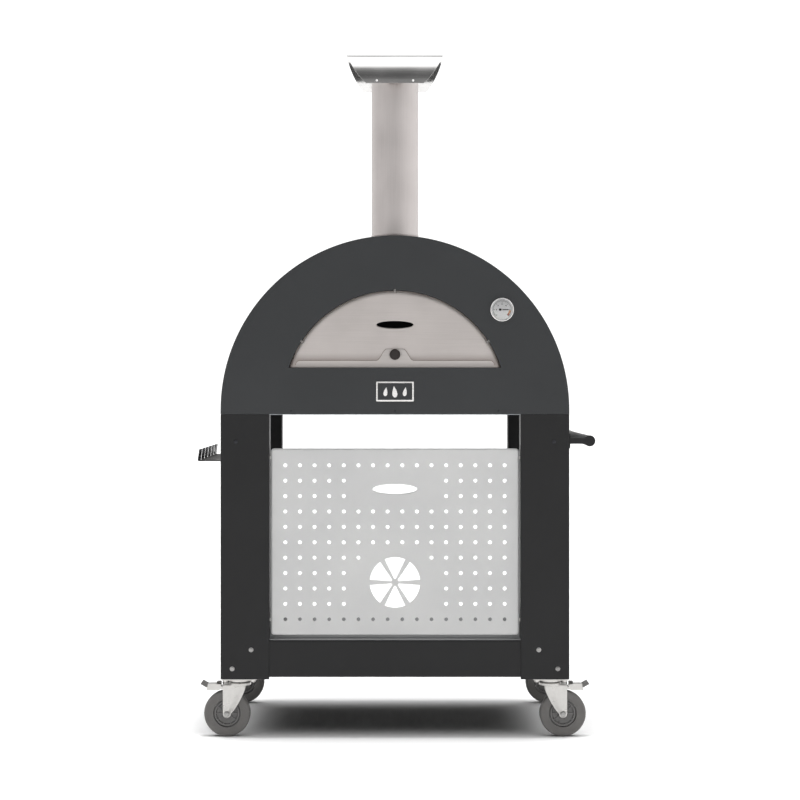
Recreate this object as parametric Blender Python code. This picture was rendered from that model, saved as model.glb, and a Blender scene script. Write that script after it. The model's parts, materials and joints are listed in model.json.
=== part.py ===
"""A wood fired pizza oven on its wheeled cart, as separate parts at life size.

Metres, +Z up, the oven's mouth facing -Y. The origin is on the floor, under the middle of the object.
"""

import math

import bmesh
import bpy
from mathutils import Vector

GAP = 0.0003  # between parts that touch
BITE = 0.002  # how far a cutting shape runs past the face it cuts

# Oven body: a half-round barrel with its axis along Y
BODY_FRONT = -0.320
BODY_BACK = 0.320
ARCH_R = 0.4695
ARCH_Z = 0.884
BODY_BOTTOM = 0.872
ARCH_STEPS = 40
SHEET = 0.0025
FACE = 0.003  # the front and rear sheets
RIM_DEPTH = 0.020
REAR_FIELD = 0.008
FIELD_BORDER = 0.060
SHELL_SHEET = 0.0022
TRAY_HALF = 0.4640
TRAY_RISE = 0.0125

# Mouth: a segment of a circle above the sill
MOUTH_R = 0.300
MOUTH_Z = 0.905
SILL_Z = 0.997
MOUTH_STEPS = 32

# Firebox
VAULT_R = 0.407
VAULT_SHEET = 0.002
VAULT_FRONT = -0.235
VAULT_BACK = 0.262
HEARTH_TOP = 0.9955
HEARTH_BOTTOM = 0.9636
HEARTH_HALF = 0.3865
BLANKET_BOTTOM = 0.885
BLANKET_R = 0.4637
BOARD_HALF = 0.399
THROAT = 0.0008  # how far the throat's inside stands back from the mouth
THROAT_SHEET = 0.002

# Chimney
FLUE_Y = -0.085
FLUE_R = 0.065
FLUE_WALL = 0.0015
FLUE_TOP = 1.800
COLLAR_R = 0.085
COLLAR_BOTTOM = 1.325
COLLAR_SHOULDER = 1.3545
COLLAR_TOP = 1.3625
CAP_R = 0.120
CAP_AXIS_Z = 1.755
CAP_HALF_LENGTH = 0.135
CAP_BLANK = 0.196
CAP_FRONT = 77.5  # how far the cap's sheet comes down from its crown, in degrees
CAP_REAR = 72.5
CAP_SHEET = 0.0015
STRAP_HALF = 0.070
STRAP_TAB_HALF = 0.058
STRAP_TAB_END = 1.788
STRAP_REACH = 0.1080
STRAP_SHEET = 0.002

# Door, air flap and gauge
DOOR_FACE = BODY_FRONT + 0.008
DOOR_DEPTH = 0.018
DOOR_SHEET = 0.002
DOOR_GAP = 0.003  # between the door's edge and the mouth's
SLOT_Z = 1.113
SLOT_HALF_WIDTH = 0.0495
SLOT_HALF_HEIGHT = 0.0095
GRIP_HALF = 0.0600
GRIP_SHEET = 0.0015
GRIP_DEPTH = 0.0397
GRIP_BELOW = 0.018
GRIP_ABOVE = 0.040
FLAP_HALF = 0.2675
FLAP_SHEET = 0.0024
FLAP_BOTTOM = SILL_Z + 0.0035
FLAP_TOP = 1.0163
BUMP_HEIGHT = 0.031
BUMP_FOOT = 0.050
BUMP_CROWN = 0.022
KNOB_Z = 1.0322
KNOB_R = 0.0145
FRONTMOST = -0.328
GAUGE_X = 0.288
GAUGE_Z = 1.153
GAUGE_HOLE_R = 0.0265
BEZEL_R = 0.0325
DIAL_R = 0.0282
CAN_R = 0.0260
CAN_BACK = -0.3000
STEM_R = 0.0035
STEM_END = -0.1700
DIAL = (-0.3226, -0.3213)
NEEDLE = (-0.3246, -0.3236)
GLASS = (-0.3276, -0.3258)
NEEDLE_REACH = 0.0220
NEEDLE_TAIL = 0.0085
BADGE_Z = 0.933
BADGE_HALF_WIDTH = 0.051
BADGE_HALF_HEIGHT = 0.02725
BADGE_BORDER = 0.005
BADGE_FACE = BODY_FRONT - 0.0023

# Cart
LEG_TOP = BODY_BOTTOM - GAP
LEG_BOTTOM = 0.1585
LEG_INNER = 0.338
LEG_RETURN = 0.055
LEG_SIDE = 0.105
FOOT_PLATE = 0.004
BEAM_BOTTOM = 0.1645
BEAM_TOP = 0.263
BEAM_HALF = 0.4632
BEAM_FACE = 0.3172
BEAM_FLANGE = 0.2900
SIDE_BEAM_FACE = 0.4667
SIDE_BEAM_FLANGE = 0.4392
SIDE_BEAM_HALF = 0.3140
SHELF_TOP = 0.2653
SHELF_HALF_WIDTH = 0.4635
SHELF_HALF_DEPTH = 0.3142
SHELF_FIELD = 0.0015  # how far the shelf's middle is pressed up
PANEL_FACE = BODY_FRONT + 0.010
PANEL_HALF = 0.335
PANEL_BOTTOM = 0.2765
PANEL_TOP = 0.779
PANEL_DEPTH = 0.020
PANEL_SHEET = 0.002
PANEL_CORNER = 0.009
PANEL_SLOT_Z = 0.670
PANEL_SLOT_HALF_WIDTH = 0.060
PANEL_SLOT_HALF_HEIGHT = 0.013
PANEL_TAB_Z = (0.754, 0.317)
PANEL_TAB = (-0.3020, -0.2970)
PANEL_TAB_SLOT = (-0.3035, -0.2955)
PANEL_LIFT = 0.030
HOLE_R = 0.006
HOLE_PITCH_X = 0.0394
HOLE_PITCH_Z = 0.0415
HOLE_TOP_Z = 0.734
HOLE_COLUMNS = 16
PLAIN_MIDDLE = {0: 0, 1: 6, 2: 6, 3: 0, 4: 0, 5: 0, 6: 4, 7: 6, 8: 6, 9: 6, 10: 0}
WHEEL_MOTIF_Z = 0.4185
WHEEL_MOTIF_R = 0.068
WHEEL_MOTIF_POINT = 0.010

# Handle, on the right, and tool rack, on the left
REACH = 0.5395
HANDLE_R = 0.015
HANDLE_Z = 0.800
HANDLE_ARM = 0.008
BRACKET = (0.311, 0.316)
BRACKET_FOOT = 0.276
BRACKET_FOOT_HALF = 0.020
RACK_BOTTOM = 0.7420
RACK_FRONT = -0.235
RACK_FINGERS = 6
RACK_FINGER = 0.070
RACK_SLOT = 0.023
RACK_LIP = 0.0325
RACK_FLANGE = 0.0445
RACK_SLOT_END = -0.492

# Casters
SWIVEL_X = 0.420
CASTER_Y = 0.280
WHEEL_X = 0.454
WHEEL_R = 0.0625
HUB_R = 0.0365
CHEEK_IN = 0.0185
CHEEK = 0.0025
CHEEK_NEAR = 0.4030
CHEEK_FAR = 0.4670
CHEEK_TOP = 0.1375
CHEEK_TIP_R = 0.0130
PLATE_HALF_WIDTH = 0.0475
PLATE_HALF_DEPTH = 0.0385
PLATE_SHEET = 0.003
RACE_R = 0.0290
RACE_SEAT = 0.1475
CROWN_R = 0.0300
CROWN_BOTTOM = 0.1385
AXLE_R = 0.0040
AXLE_HEAD_R = 0.0070
HUB_BORE_R = 0.0044
HUB_BOSS_R = 0.0110
HUB_BOSS_HALF = 0.017
HUB_HALF = 0.0125
TYRE_HALF = 0.016
TYRE_SHOULDER = 0.006

# Brake pedal, seen from the front: (distance from the middle, height), and the hinge it turns on
PEDAL = ((0.4500, 0.1290), (0.4690, 0.1280), (0.4770, 0.1252), (0.5075, 0.1252),
         (0.5100, 0.1335), (0.5254, 0.1422), (0.5200, 0.1498), (0.5075, 0.1425),
         (0.4860, 0.1432), (0.4710, 0.1415), (0.4690, 0.1355), (0.4500, 0.1350))
PEDAL_HALF = 0.0155
PEDAL_HINGE = (0.4560, 0.1320)


def clear_scene():
    for obj in list(bpy.data.objects):
        bpy.data.objects.remove(obj, do_unlink=True)


def finish(name, colour, roughness, metallic=0.0):
    material = bpy.data.materials.new(name)
    material.use_nodes = True
    shader = material.node_tree.nodes["Principled BSDF"]
    shader.inputs["Base Color"].default_value = (*colour, 1.0)
    shader.inputs["Roughness"].default_value = roughness
    shader.inputs["Metallic"].default_value = metallic
    return material


def placed(axis, u, v, along):
    """A point with outline coordinates u, v and a place along the axis."""
    return {"X": (along, u, v), "Y": (u, along, v), "Z": (u, v, along)}[axis]


def prism(outline, axis, low, high):
    """A closed outline pushed along X, Y or Z from low to high."""
    shape = bmesh.new()
    rings = []
    for along in (low, high):
        rings.append([shape.verts.new(placed(axis, u, v, along)) for u, v in outline])
    shape.faces.new(rings[0])
    shape.faces.new(rings[1])
    count = len(outline)
    for i in range(count):
        j = (i + 1) % count
        shape.faces.new((rings[0][i], rings[0][j], rings[1][j], rings[1][i]))
    return shape


def box(x, y, z):
    return prism(((x[0], y[0]), (x[1], y[0]), (x[1], y[1]), (x[0], y[1])), "Z", *z)


def turned(profile, axis, centre, steps):
    """A closed profile of (radius, place along the axis), turned about an axis through centre."""
    shape = bmesh.new()
    rings = []
    for radius, along in profile:
        ring = []
        for i in range(steps if radius > 0 else 1):
            angle = 2 * math.pi * i / steps
            spot = placed(axis, radius * math.cos(angle), radius * math.sin(angle), along)
            ring.append(shape.verts.new(Vector(centre) + Vector(spot)))
        rings.append(ring)
    for first, second in zip(rings, rings[1:] + rings[:1]):
        for i in range(steps):
            j = (i + 1) % steps
            corners = [first[i % len(first)], first[j % len(first)]]
            corners += [second[j % len(second)], second[i % len(second)]]
            corners = list(dict.fromkeys(corners))
            if len(corners) > 2:
                shape.faces.new(corners)
    return shape


def rod(radius, axis, centre, low, high, steps):
    return turned(((0, low), (radius, low), (radius, high), (0, high)), axis, centre, steps)


def part(shape, name, material=None, origin=(0, 0, 0), parent=None, smooth=False):
    """An object from a shape in world coordinates, with its own origin and perhaps a parent empty."""
    bmesh.ops.recalc_face_normals(shape, faces=shape.faces)
    bmesh.ops.translate(shape, verts=shape.verts, vec=-Vector(origin))
    mesh = bpy.data.meshes.new(name)
    shape.to_mesh(mesh)
    shape.free()
    obj = bpy.data.objects.new(name, mesh)
    bpy.context.scene.collection.objects.link(obj)
    obj.location = Vector(origin)
    if parent:
        obj.parent = parent
        obj.location -= parent.location
    if material:
        mesh.materials.append(material)
    if smooth:
        mesh.shade_smooth()
        mesh.set_sharp_from_angle(angle=math.radians(35))
    return obj


def combine(obj, shape, operation):
    """Cuts or joins a shape in world coordinates into an object, for good."""
    tool = part(shape, "tool")
    change = obj.modifiers.new("change", "BOOLEAN")
    change.operation = operation
    change.object = tool
    change.solver = "EXACT"
    graph = bpy.context.evaluated_depsgraph_get()
    mesh = bpy.data.meshes.new_from_object(obj.evaluated_get(graph))
    obj.modifiers.clear()
    obj.data = mesh
    bpy.data.objects.remove(tool, do_unlink=True)
    return obj


def cut(obj, shape):
    return combine(obj, shape, "DIFFERENCE")


def join(obj, shape):
    return combine(obj, shape, "UNION")


def merged(shapes):
    """Several separate shapes as one cutting shape."""
    whole = bmesh.new()
    for shape in shapes:
        mesh = bpy.data.meshes.new("piece")
        shape.to_mesh(mesh)
        shape.free()
        whole.from_mesh(mesh)
        bpy.data.meshes.remove(mesh)
    return whole


def empty_at(name, place):
    empty = bpy.data.objects.new(name, None)
    empty.location = place
    bpy.context.scene.collection.objects.link(empty)
    return empty


def arc(radius, centre, start, end, steps):
    points = []
    for i in range(steps + 1):
        angle = start + (end - start) * i / steps
        points.append((centre[0] + radius * math.cos(angle), centre[1] + radius * math.sin(angle)))
    return points


def arch(radius, bottom):
    """The body's half-round outline in X and Z, cut off level at bottom."""
    start = math.asin(max(bottom - ARCH_Z, 0.0) / radius)
    points = arc(radius, (0, ARCH_Z), start, math.pi - start, ARCH_STEPS)
    if bottom < ARCH_Z:
        points += [(-radius, bottom), (radius, bottom)]
    return points


def arch_band(outer, inner, bottom):
    """The outline of a bent sheet, between two arches with their feet at bottom."""
    over = arch(outer, bottom)
    under = arch(inner, bottom)
    if bottom < ARCH_Z:
        over = [over[-1]] + over[:-1]
        under = [under[-1]] + under[:-1]
    return over + under[::-1]


def mouth(grow):
    """The mouth's outline, grown outwards, or inwards where grow is negative."""
    radius = MOUTH_R + grow
    start = math.asin((SILL_Z - grow - MOUTH_Z) / radius)
    return arc(radius, (0, MOUTH_Z), start, math.pi - start, MOUTH_STEPS)


def oval(half_width, half_height, centre_z, steps):
    points = []
    for i in range(steps):
        angle = 2 * math.pi * i / steps
        points.append((half_width * math.cos(angle), centre_z + half_height * math.sin(angle)))
    return points


def round_rectangle(half, low, high, radius, steps):
    corners = ((half, low, -90), (half, high, 0), (-half, high, 90), (-half, low, 180))
    points = []
    for x, z, turn in corners:
        centre = (x - math.copysign(radius, x), z + radius if z == low else z - radius)
        start = math.radians(turn)
        points += arc(radius, centre, start, start + math.pi / 2, steps)
    return points


def make_finishes():
    return {
        "anthracite": finish("anthracite coat", (0.046, 0.049, 0.052), 0.55),
        "cart": finish("cart coat", (0.032, 0.032, 0.033), 0.5),
        "satin": finish("satin stainless steel", (0.51, 0.48, 0.45), 0.42, 1.0),
        "polished": finish("polished stainless steel", (0.72, 0.72, 0.73), 0.12, 1.0),
        "panel": finish("light grey coat", (0.55, 0.55, 0.55), 0.5),
        "shelf": finish("grey coat", (0.20, 0.20, 0.20), 0.5),
        "fibre": finish("ceramic fibre", (0.80, 0.78, 0.73), 0.95),
        "stone": finish("refractory stone", (0.58, 0.47, 0.34), 0.9),
        "galvanised": finish("galvanised steel", (0.45, 0.46, 0.47), 0.45, 1.0),
        "zinc": finish("zinc plated steel", (0.66, 0.64, 0.61), 0.35, 1.0),
        "bezel": finish("gauge bezel steel", (0.78, 0.78, 0.79), 0.15, 1.0),
        "dial": finish("printed dial", (0.62, 0.62, 0.62), 0.5),
        "glass": finish("gauge glass", (0.90, 0.92, 0.92), 0.05),
        "black": finish("black lacquer", (0.010, 0.010, 0.011), 0.4),
        "knob": finish("dark phenolic knob", (0.042, 0.030, 0.026), 0.5),
        "tyre": finish("grey rubber tyre", (0.125, 0.125, 0.127), 0.75),
        "hub": finish("grey nylon hub", (0.145, 0.145, 0.147), 0.5),
    }


def make_body(finishes):
    fascia = part(prism(arch(ARCH_R, BODY_BOTTOM), "Y", BODY_FRONT, BODY_FRONT + RIM_DEPTH),
                  "front_fascia", finishes["anthracite"])
    inside = arch(ARCH_R - SHEET, BODY_BOTTOM - BITE)
    cut(fascia, prism(inside, "Y", BODY_FRONT + FACE, BODY_FRONT + RIM_DEPTH + BITE))
    cut(fascia, prism(mouth(0), "Y", BODY_FRONT - BITE, BODY_FRONT + RIM_DEPTH))
    gauge = (GAUGE_X, 0, GAUGE_Z)
    cut(fascia, rod(GAUGE_HOLE_R, "Y", gauge, BODY_FRONT - BITE, BODY_FRONT + RIM_DEPTH, 24))

    rear = part(prism(arch(ARCH_R, BODY_BOTTOM), "Y", BODY_BACK - RIM_DEPTH, BODY_BACK),
                "rear_cover", finishes["anthracite"])
    cut(rear, prism(inside, "Y", BODY_BACK - RIM_DEPTH - BITE, BODY_BACK - FACE))
    field = ARCH_R - FIELD_BORDER
    field_bottom = BODY_BOTTOM + FIELD_BORDER
    join(rear, prism(arch(field, field_bottom), "Y", BODY_BACK - 0.001, BODY_BACK + REAR_FIELD))
    cut(rear, prism(arch(field - SHEET, field_bottom + SHEET), "Y",
                    BODY_BACK - RIM_DEPTH, BODY_BACK + REAR_FIELD - SHEET))

    shell_r = ARCH_R - SHEET - 0.0004
    half = BODY_BACK - FACE - 0.0004
    shell = part(prism(arch_band(shell_r, shell_r - SHELL_SHEET, BODY_BOTTOM + GAP), "Y", -half, half),
                 "outer_shell", finishes["anthracite"], smooth=True)
    cut(shell, rod(FLUE_R + 0.001, "Z", (0, FLUE_Y, 0), ARCH_Z + 0.4, ARCH_Z + 0.5, 32))

    tray = part(box((-TRAY_HALF, TRAY_HALF), (-half, half), (BODY_BOTTOM, BODY_BOTTOM + TRAY_RISE)),
                "base_tray", finishes["galvanised"])
    cut(tray, box((SHEET - TRAY_HALF, TRAY_HALF - SHEET), (-half - BITE, half + BITE),
                  (BODY_BOTTOM + SHEET, BODY_BOTTOM + 2 * TRAY_RISE)))


def make_firebox(finishes):
    band = arch_band(VAULT_R, VAULT_R - VAULT_SHEET, HEARTH_BOTTOM)
    vault = part(prism(band, "Y", VAULT_FRONT, VAULT_BACK), "firebox_vault", finishes["satin"], smooth=True)
    cut(vault, rod(FLUE_R - 0.0025, "Z", (0, FLUE_Y, 0), ARCH_Z + 0.35, ARCH_Z + 0.45, 32))
    part(prism(arch(VAULT_R, HEARTH_BOTTOM), "Y", VAULT_BACK + GAP, VAULT_BACK + GAP + VAULT_SHEET),
         "firebox_back", finishes["satin"])

    gauge = (GAUGE_X, 0, GAUGE_Z)
    wall = VAULT_FRONT - GAP - VAULT_SHEET
    frame = part(prism(arch(VAULT_R, HEARTH_BOTTOM), "Y", wall, wall + VAULT_SHEET),
                 "mouth_frame", finishes["satin"])
    throat_front = BODY_FRONT + FACE + GAP
    join(frame, prism(mouth(THROAT + THROAT_SHEET), "Y", throat_front, wall + 0.001))
    cut(frame, prism(mouth(THROAT), "Y", BODY_FRONT, VAULT_FRONT + 0.01))
    cut(frame, rod(STEM_R + 0.0007, "Y", gauge, wall - BITE, VAULT_FRONT + BITE, 12))

    for side, low, high in (("left", -HEARTH_HALF, -0.0005), ("right", 0.0005, HEARTH_HALF)):
        part(box((low, high), (VAULT_FRONT + 0.0005, VAULT_BACK - 0.0005), (HEARTH_BOTTOM, HEARTH_TOP)),
             "hearth_tile_" + side, finishes["stone"])
    part(box((-BOARD_HALF, BOARD_HALF), (VAULT_FRONT - VAULT_SHEET, VAULT_BACK + VAULT_SHEET),
             (BODY_BOTTOM + SHEET + GAP, HEARTH_BOTTOM - GAP)),
         "floor_insulation", finishes["fibre"])

    half = BODY_BACK - FACE - 0.0006
    felt = prism(arch(BLANKET_R, BLANKET_BOTTOM), "Y", -half, half)
    blanket = part(felt, "insulation_blanket", finishes["fibre"])
    cut(blanket, prism(arch(VAULT_R + 0.0008, BODY_BOTTOM), "Y", wall - 0.0005, VAULT_BACK + 0.0030))
    cut(blanket, prism(mouth(THROAT + THROAT_SHEET + 0.0007), "Y", BODY_FRONT - BITE, VAULT_FRONT))
    cut(blanket, rod(FLUE_R + 0.0008, "Z", (0, FLUE_Y, 0), ARCH_Z + 0.35, ARCH_Z + 0.5, 32))
    cut(blanket, rod(CAN_R + 0.001, "Y", gauge, BODY_FRONT - BITE, CAN_BACK + 0.001, 24))
    cut(blanket, rod(STEM_R + 0.001, "Y", gauge, CAN_BACK, VAULT_FRONT, 12))


def cap_shape():
    """A half barrel about X, cut from a rounded blank, so that it narrows towards its lower edges."""
    shape = bmesh.new()
    rows = []
    steps = 24
    for i in range(steps + 1):
        share = 2 * i / steps - 1
        angle = math.radians(share * (CAP_FRONT if share < 0 else CAP_REAR))
        run = CAP_R * abs(angle)
        width = CAP_HALF_LENGTH * math.sqrt(1 - (run / CAP_BLANK) ** 2.3)
        inner = CAP_R - CAP_SHEET
        row = []
        for radius, x in ((CAP_R, -width), (CAP_R, width), (inner, width), (inner, -width)):
            spot = (x, FLUE_Y + radius * math.sin(angle), CAP_AXIS_Z + radius * math.cos(angle))
            row.append(shape.verts.new(spot))
        rows.append(row)
    for first, second in zip(rows, rows[1:]):
        for i in range(4):
            j = (i + 1) % 4
            shape.faces.new((first[i], first[j], second[j], second[i]))
    shape.faces.new(rows[0])
    shape.faces.new(rows[-1])
    return shape


def make_chimney(finishes):
    axis = (0, FLUE_Y, 0)
    bore = FLUE_R + 0.0005
    profile = ((bore, COLLAR_BOTTOM), (COLLAR_R, COLLAR_BOTTOM), (COLLAR_R, COLLAR_SHOULDER),
               (FLUE_R + 0.005, COLLAR_TOP), (bore, COLLAR_TOP))
    collar = part(turned(profile, "Z", axis, 32), "flue_collar", finishes["satin"], smooth=True)
    cut(collar, prism(arch(ARCH_R - SHEET, 1.2), "Y", FLUE_Y - 0.1, FLUE_Y + 0.1))

    low = ARCH_Z + VAULT_R + 0.0004
    inner = FLUE_R - FLUE_WALL
    profile = ((inner, low), (FLUE_R, low), (FLUE_R, FLUE_TOP), (inner, FLUE_TOP))
    part(turned(profile, "Z", axis, 32), "flue_pipe", finishes["satin"], smooth=True)

    part(cap_shape(), "chimney_cap", finishes["polished"], smooth=True)

    strap = part(box((-STRAP_HALF, STRAP_HALF), (FLUE_Y - STRAP_REACH, FLUE_Y + STRAP_REACH),
                     (FLUE_TOP + GAP, FLUE_TOP + GAP + STRAP_SHEET)), "cap_strap", finishes["satin"])
    for side in (-1, 1):
        tab = sorted((FLUE_Y + side * STRAP_REACH, FLUE_Y + side * (STRAP_REACH - STRAP_SHEET)))
        join(strap, box((-STRAP_TAB_HALF, STRAP_TAB_HALF), tab, (STRAP_TAB_END, FLUE_TOP + 0.001)))
    cut(strap, rod(FLUE_R - 0.005, "Z", axis, FLUE_TOP - 0.01, FLUE_TOP + 0.01, 32))


def flap_outline():
    """A low strip along the sill with rounded ends, and a smooth rise in the middle behind the knob."""
    radius = 0.012
    right = arc(radius, (FLAP_HALF - radius, FLAP_TOP - radius), 0, math.pi / 2, 4)
    rise = []
    steps = 8
    for i in range(steps + 1):
        share = i / steps
        x = BUMP_FOOT + (BUMP_CROWN - BUMP_FOOT) * share
        rise.append((x, FLAP_TOP + BUMP_HEIGHT * (0.5 - 0.5 * math.cos(math.pi * share))))
    upper = right + rise
    left = [(-x, z) for x, z in upper[::-1]]
    return [(FLAP_HALF, FLAP_BOTTOM)] + upper + left + [(-FLAP_HALF, FLAP_BOTTOM)]


def make_door(finishes):
    start = (0, DOOR_FACE, SILL_Z)
    door = part(prism(mouth(-DOOR_GAP), "Y", DOOR_FACE, DOOR_FACE + DOOR_DEPTH), "door_panel",
                finishes["satin"], start)
    inside = mouth(-DOOR_GAP - DOOR_SHEET)
    cut(door, prism(inside, "Y", DOOR_FACE + DOOR_SHEET, DOOR_FACE + DOOR_DEPTH + BITE))
    slot = oval(SLOT_HALF_WIDTH, SLOT_HALF_HEIGHT, SLOT_Z, 24)
    cut(door, prism(slot, "Y", DOOR_FACE - BITE, DOOR_FACE + DOOR_SHEET + BITE))

    front = DOOR_FACE + DOOR_SHEET + GAP
    low, high = SLOT_Z - GRIP_BELOW, SLOT_Z + GRIP_ABOVE
    grip = part(box((-GRIP_HALF, GRIP_HALF), (front, front + GRIP_DEPTH), (low, high)),
                "door_grip", finishes["black"], start)
    cut(grip, box((GRIP_SHEET - GRIP_HALF, GRIP_HALF - GRIP_SHEET),
                  (front - BITE, front + GRIP_DEPTH - GRIP_SHEET), (low + GRIP_SHEET, high - GRIP_SHEET)))

    back = DOOR_FACE - GAP
    flap_start = (0, back, FLAP_BOTTOM)
    part(prism(flap_outline(), "Y", back - FLAP_SHEET, back), "air_flap", finishes["satin"], flap_start)
    knob_back = back - FLAP_SHEET - GAP
    neck = KNOB_R - 0.0035
    profile = ((0, knob_back), (neck, knob_back), (neck, knob_back - 0.002), (KNOB_R, knob_back - 0.004),
               (KNOB_R, FRONTMOST + 0.002), (KNOB_R - 0.002, FRONTMOST), (0, FRONTMOST))
    knob = turned(profile, "Y", (0, 0, KNOB_Z), 24)
    part(knob, "air_knob", finishes["knob"], flap_start, smooth=True)


def make_gauge(finishes):
    centre = (GAUGE_X, 0, GAUGE_Z)
    seat = BODY_FRONT - GAP
    rim = DIAL_R + 0.0003
    case = ((0, DIAL[1] + GAP), (rim, DIAL[1] + GAP), (rim, FRONTMOST), (BEZEL_R - 0.0015, FRONTMOST),
            (BEZEL_R, FRONTMOST + 0.0018), (BEZEL_R, seat), (CAN_R, seat), (CAN_R, CAN_BACK),
            (STEM_R, CAN_BACK), (STEM_R, STEM_END), (0, STEM_END))
    part(turned(case, "Y", centre, 24), "gauge_case", finishes["bezel"], smooth=True)
    part(rod(DIAL_R, "Y", centre, *DIAL, 24), "gauge_dial", finishes["dial"])
    part(rod(DIAL_R, "Y", centre, *GLASS, 24), "gauge_glass", finishes["glass"])
    hub = arc(0.0028, (GAUGE_X, GAUGE_Z), math.radians(20), math.radians(160), 6)
    under = arc(0.0028, (GAUGE_X, GAUGE_Z), math.radians(200), math.radians(340), 6)
    tail = [(GAUGE_X - NEEDLE_TAIL, GAUGE_Z + z) for z in (0.0014, -0.0014)]
    tip = [(GAUGE_X + NEEDLE_REACH, GAUGE_Z + z) for z in (-0.0003, 0.0003)]
    part(prism(hub + tail + under + tip, "Y", *NEEDLE), "gauge_needle", finishes["black"],
         (GAUGE_X, sum(NEEDLE) / 2, GAUGE_Z))


def make_badge(finishes):
    low, high = BADGE_Z - BADGE_HALF_HEIGHT, BADGE_Z + BADGE_HALF_HEIGHT
    badge = part(box((-BADGE_HALF_WIDTH, BADGE_HALF_WIDTH), (BADGE_FACE, BODY_FRONT - GAP), (low, high)),
                 "badge_plate", finishes["polished"])
    cut(badge, box((BADGE_BORDER - BADGE_HALF_WIDTH, BADGE_HALF_WIDTH - BADGE_BORDER),
                   (BADGE_FACE - BITE, BADGE_FACE + 0.0009), (low + BADGE_BORDER, high - BADGE_BORDER)))


def at_corner(points, side, end):
    """Points given as distances from the middle, moved to the corner on this side and end."""
    return [(side * x, end * y) for x, y in points]


def make_leg(side, end, name, finishes):
    """A folded channel with a foot plate; the inner return stops above the shelf."""
    outer, front = ARCH_R, BODY_BACK
    section = [(outer, front), (LEG_INNER, front), (LEG_INNER, front - LEG_RETURN),
               (LEG_INNER + SHEET, front - LEG_RETURN), (LEG_INNER + SHEET, front - SHEET),
               (outer - SHEET, front - SHEET), (outer - SHEET, front - LEG_SIDE), (outer, front - LEG_SIDE)]
    leg = part(prism(at_corner(section, side, end), "Z", LEG_BOTTOM, LEG_TOP), name, finishes["cart"])
    below = [(LEG_INNER - BITE, front - SHEET), (LEG_INNER + SHEET, front - SHEET),
             (LEG_INNER + SHEET, front - LEG_RETURN - BITE), (LEG_INNER - BITE, front - LEG_RETURN - BITE)]
    cut(leg, prism(at_corner(below, side, end), "Z", LEG_BOTTOM - BITE, SHELF_TOP + GAP))
    foot = [(outer - 0.001, front - 0.001), (LEG_INNER + 0.004, front - 0.001),
            (LEG_INNER + 0.004, front - LEG_SIDE + 0.001), (outer - 0.001, front - LEG_SIDE + 0.001)]
    join(leg, prism(at_corner(foot, side, end), "Z", LEG_BOTTOM, LEG_BOTTOM + FOOT_PLATE))
    if end < 0:
        for z in PANEL_TAB_Z:
            slot = sorted((side * (LEG_INNER - BITE), side * (LEG_INNER + SHEET + BITE)))
            cut(leg, box(slot, PANEL_TAB_SLOT, (z - 0.0045, z + 0.0045 + PANEL_LIFT)))


def make_frame(finishes):
    for end, place in ((-1, "front"), (1, "rear")):
        for side, hand in ((-1, "left"), (1, "right")):
            make_leg(side, end, f"leg_{place}_{hand}", finishes)
        web = sorted((end * BEAM_FACE, end * (BEAM_FACE - SHEET)))
        flange = sorted((end * (BEAM_FACE - 0.0012), end * BEAM_FLANGE))
        span = (-BEAM_HALF, BEAM_HALF)
        beam = part(box(span, web, (BEAM_BOTTOM, BEAM_TOP)), place + "_beam", finishes["cart"])
        join(beam, box(span, flange, (BEAM_TOP - SHEET, BEAM_TOP)))
    for side, hand in ((-1, "left"), (1, "right")):
        web = sorted((side * SIDE_BEAM_FACE, side * (SIDE_BEAM_FACE - SHEET)))
        flange = sorted((side * (SIDE_BEAM_FACE - 0.0012), side * SIDE_BEAM_FLANGE))
        span = (-SIDE_BEAM_HALF, SIDE_BEAM_HALF)
        beam = part(box(web, span, (BEAM_BOTTOM, BEAM_TOP)), "side_beam_" + hand, finishes["cart"])
        join(beam, box(flange, (0.0005 - BEAM_FLANGE, BEAM_FLANGE - 0.0005), (BEAM_TOP - SHEET, BEAM_TOP)))
    shelf = part(box((-SHELF_HALF_WIDTH, SHELF_HALF_WIDTH), (-SHELF_HALF_DEPTH, SHELF_HALF_DEPTH),
                     (BEAM_TOP + GAP, SHELF_TOP)), "shelf", finishes["shelf"])
    join(shelf, box((-0.325, 0.325), (-0.280, 0.300), (BEAM_TOP + 0.001, SHELF_TOP + SHELF_FIELD)))


def hole_centres():
    for row, plain in PLAIN_MIDDLE.items():
        for column in range(HOLE_COLUMNS):
            from_middle = column - (HOLE_COLUMNS - 1) / 2
            if abs(from_middle) > plain / 2:
                yield from_middle * HOLE_PITCH_X, HOLE_TOP_Z - row * HOLE_PITCH_Z


def wedge_outlines():
    """Six slices of a round pizza, each drawn back from its neighbours."""
    for i in range(6):
        middle = math.radians(60 * i + 30)
        spread = math.radians(24)
        point = arc(WHEEL_MOTIF_POINT, (0, WHEEL_MOTIF_Z), middle, middle, 1)[0]
        yield [point] + arc(WHEEL_MOTIF_R, (0, WHEEL_MOTIF_Z), middle - spread, middle + spread, 6)


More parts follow.
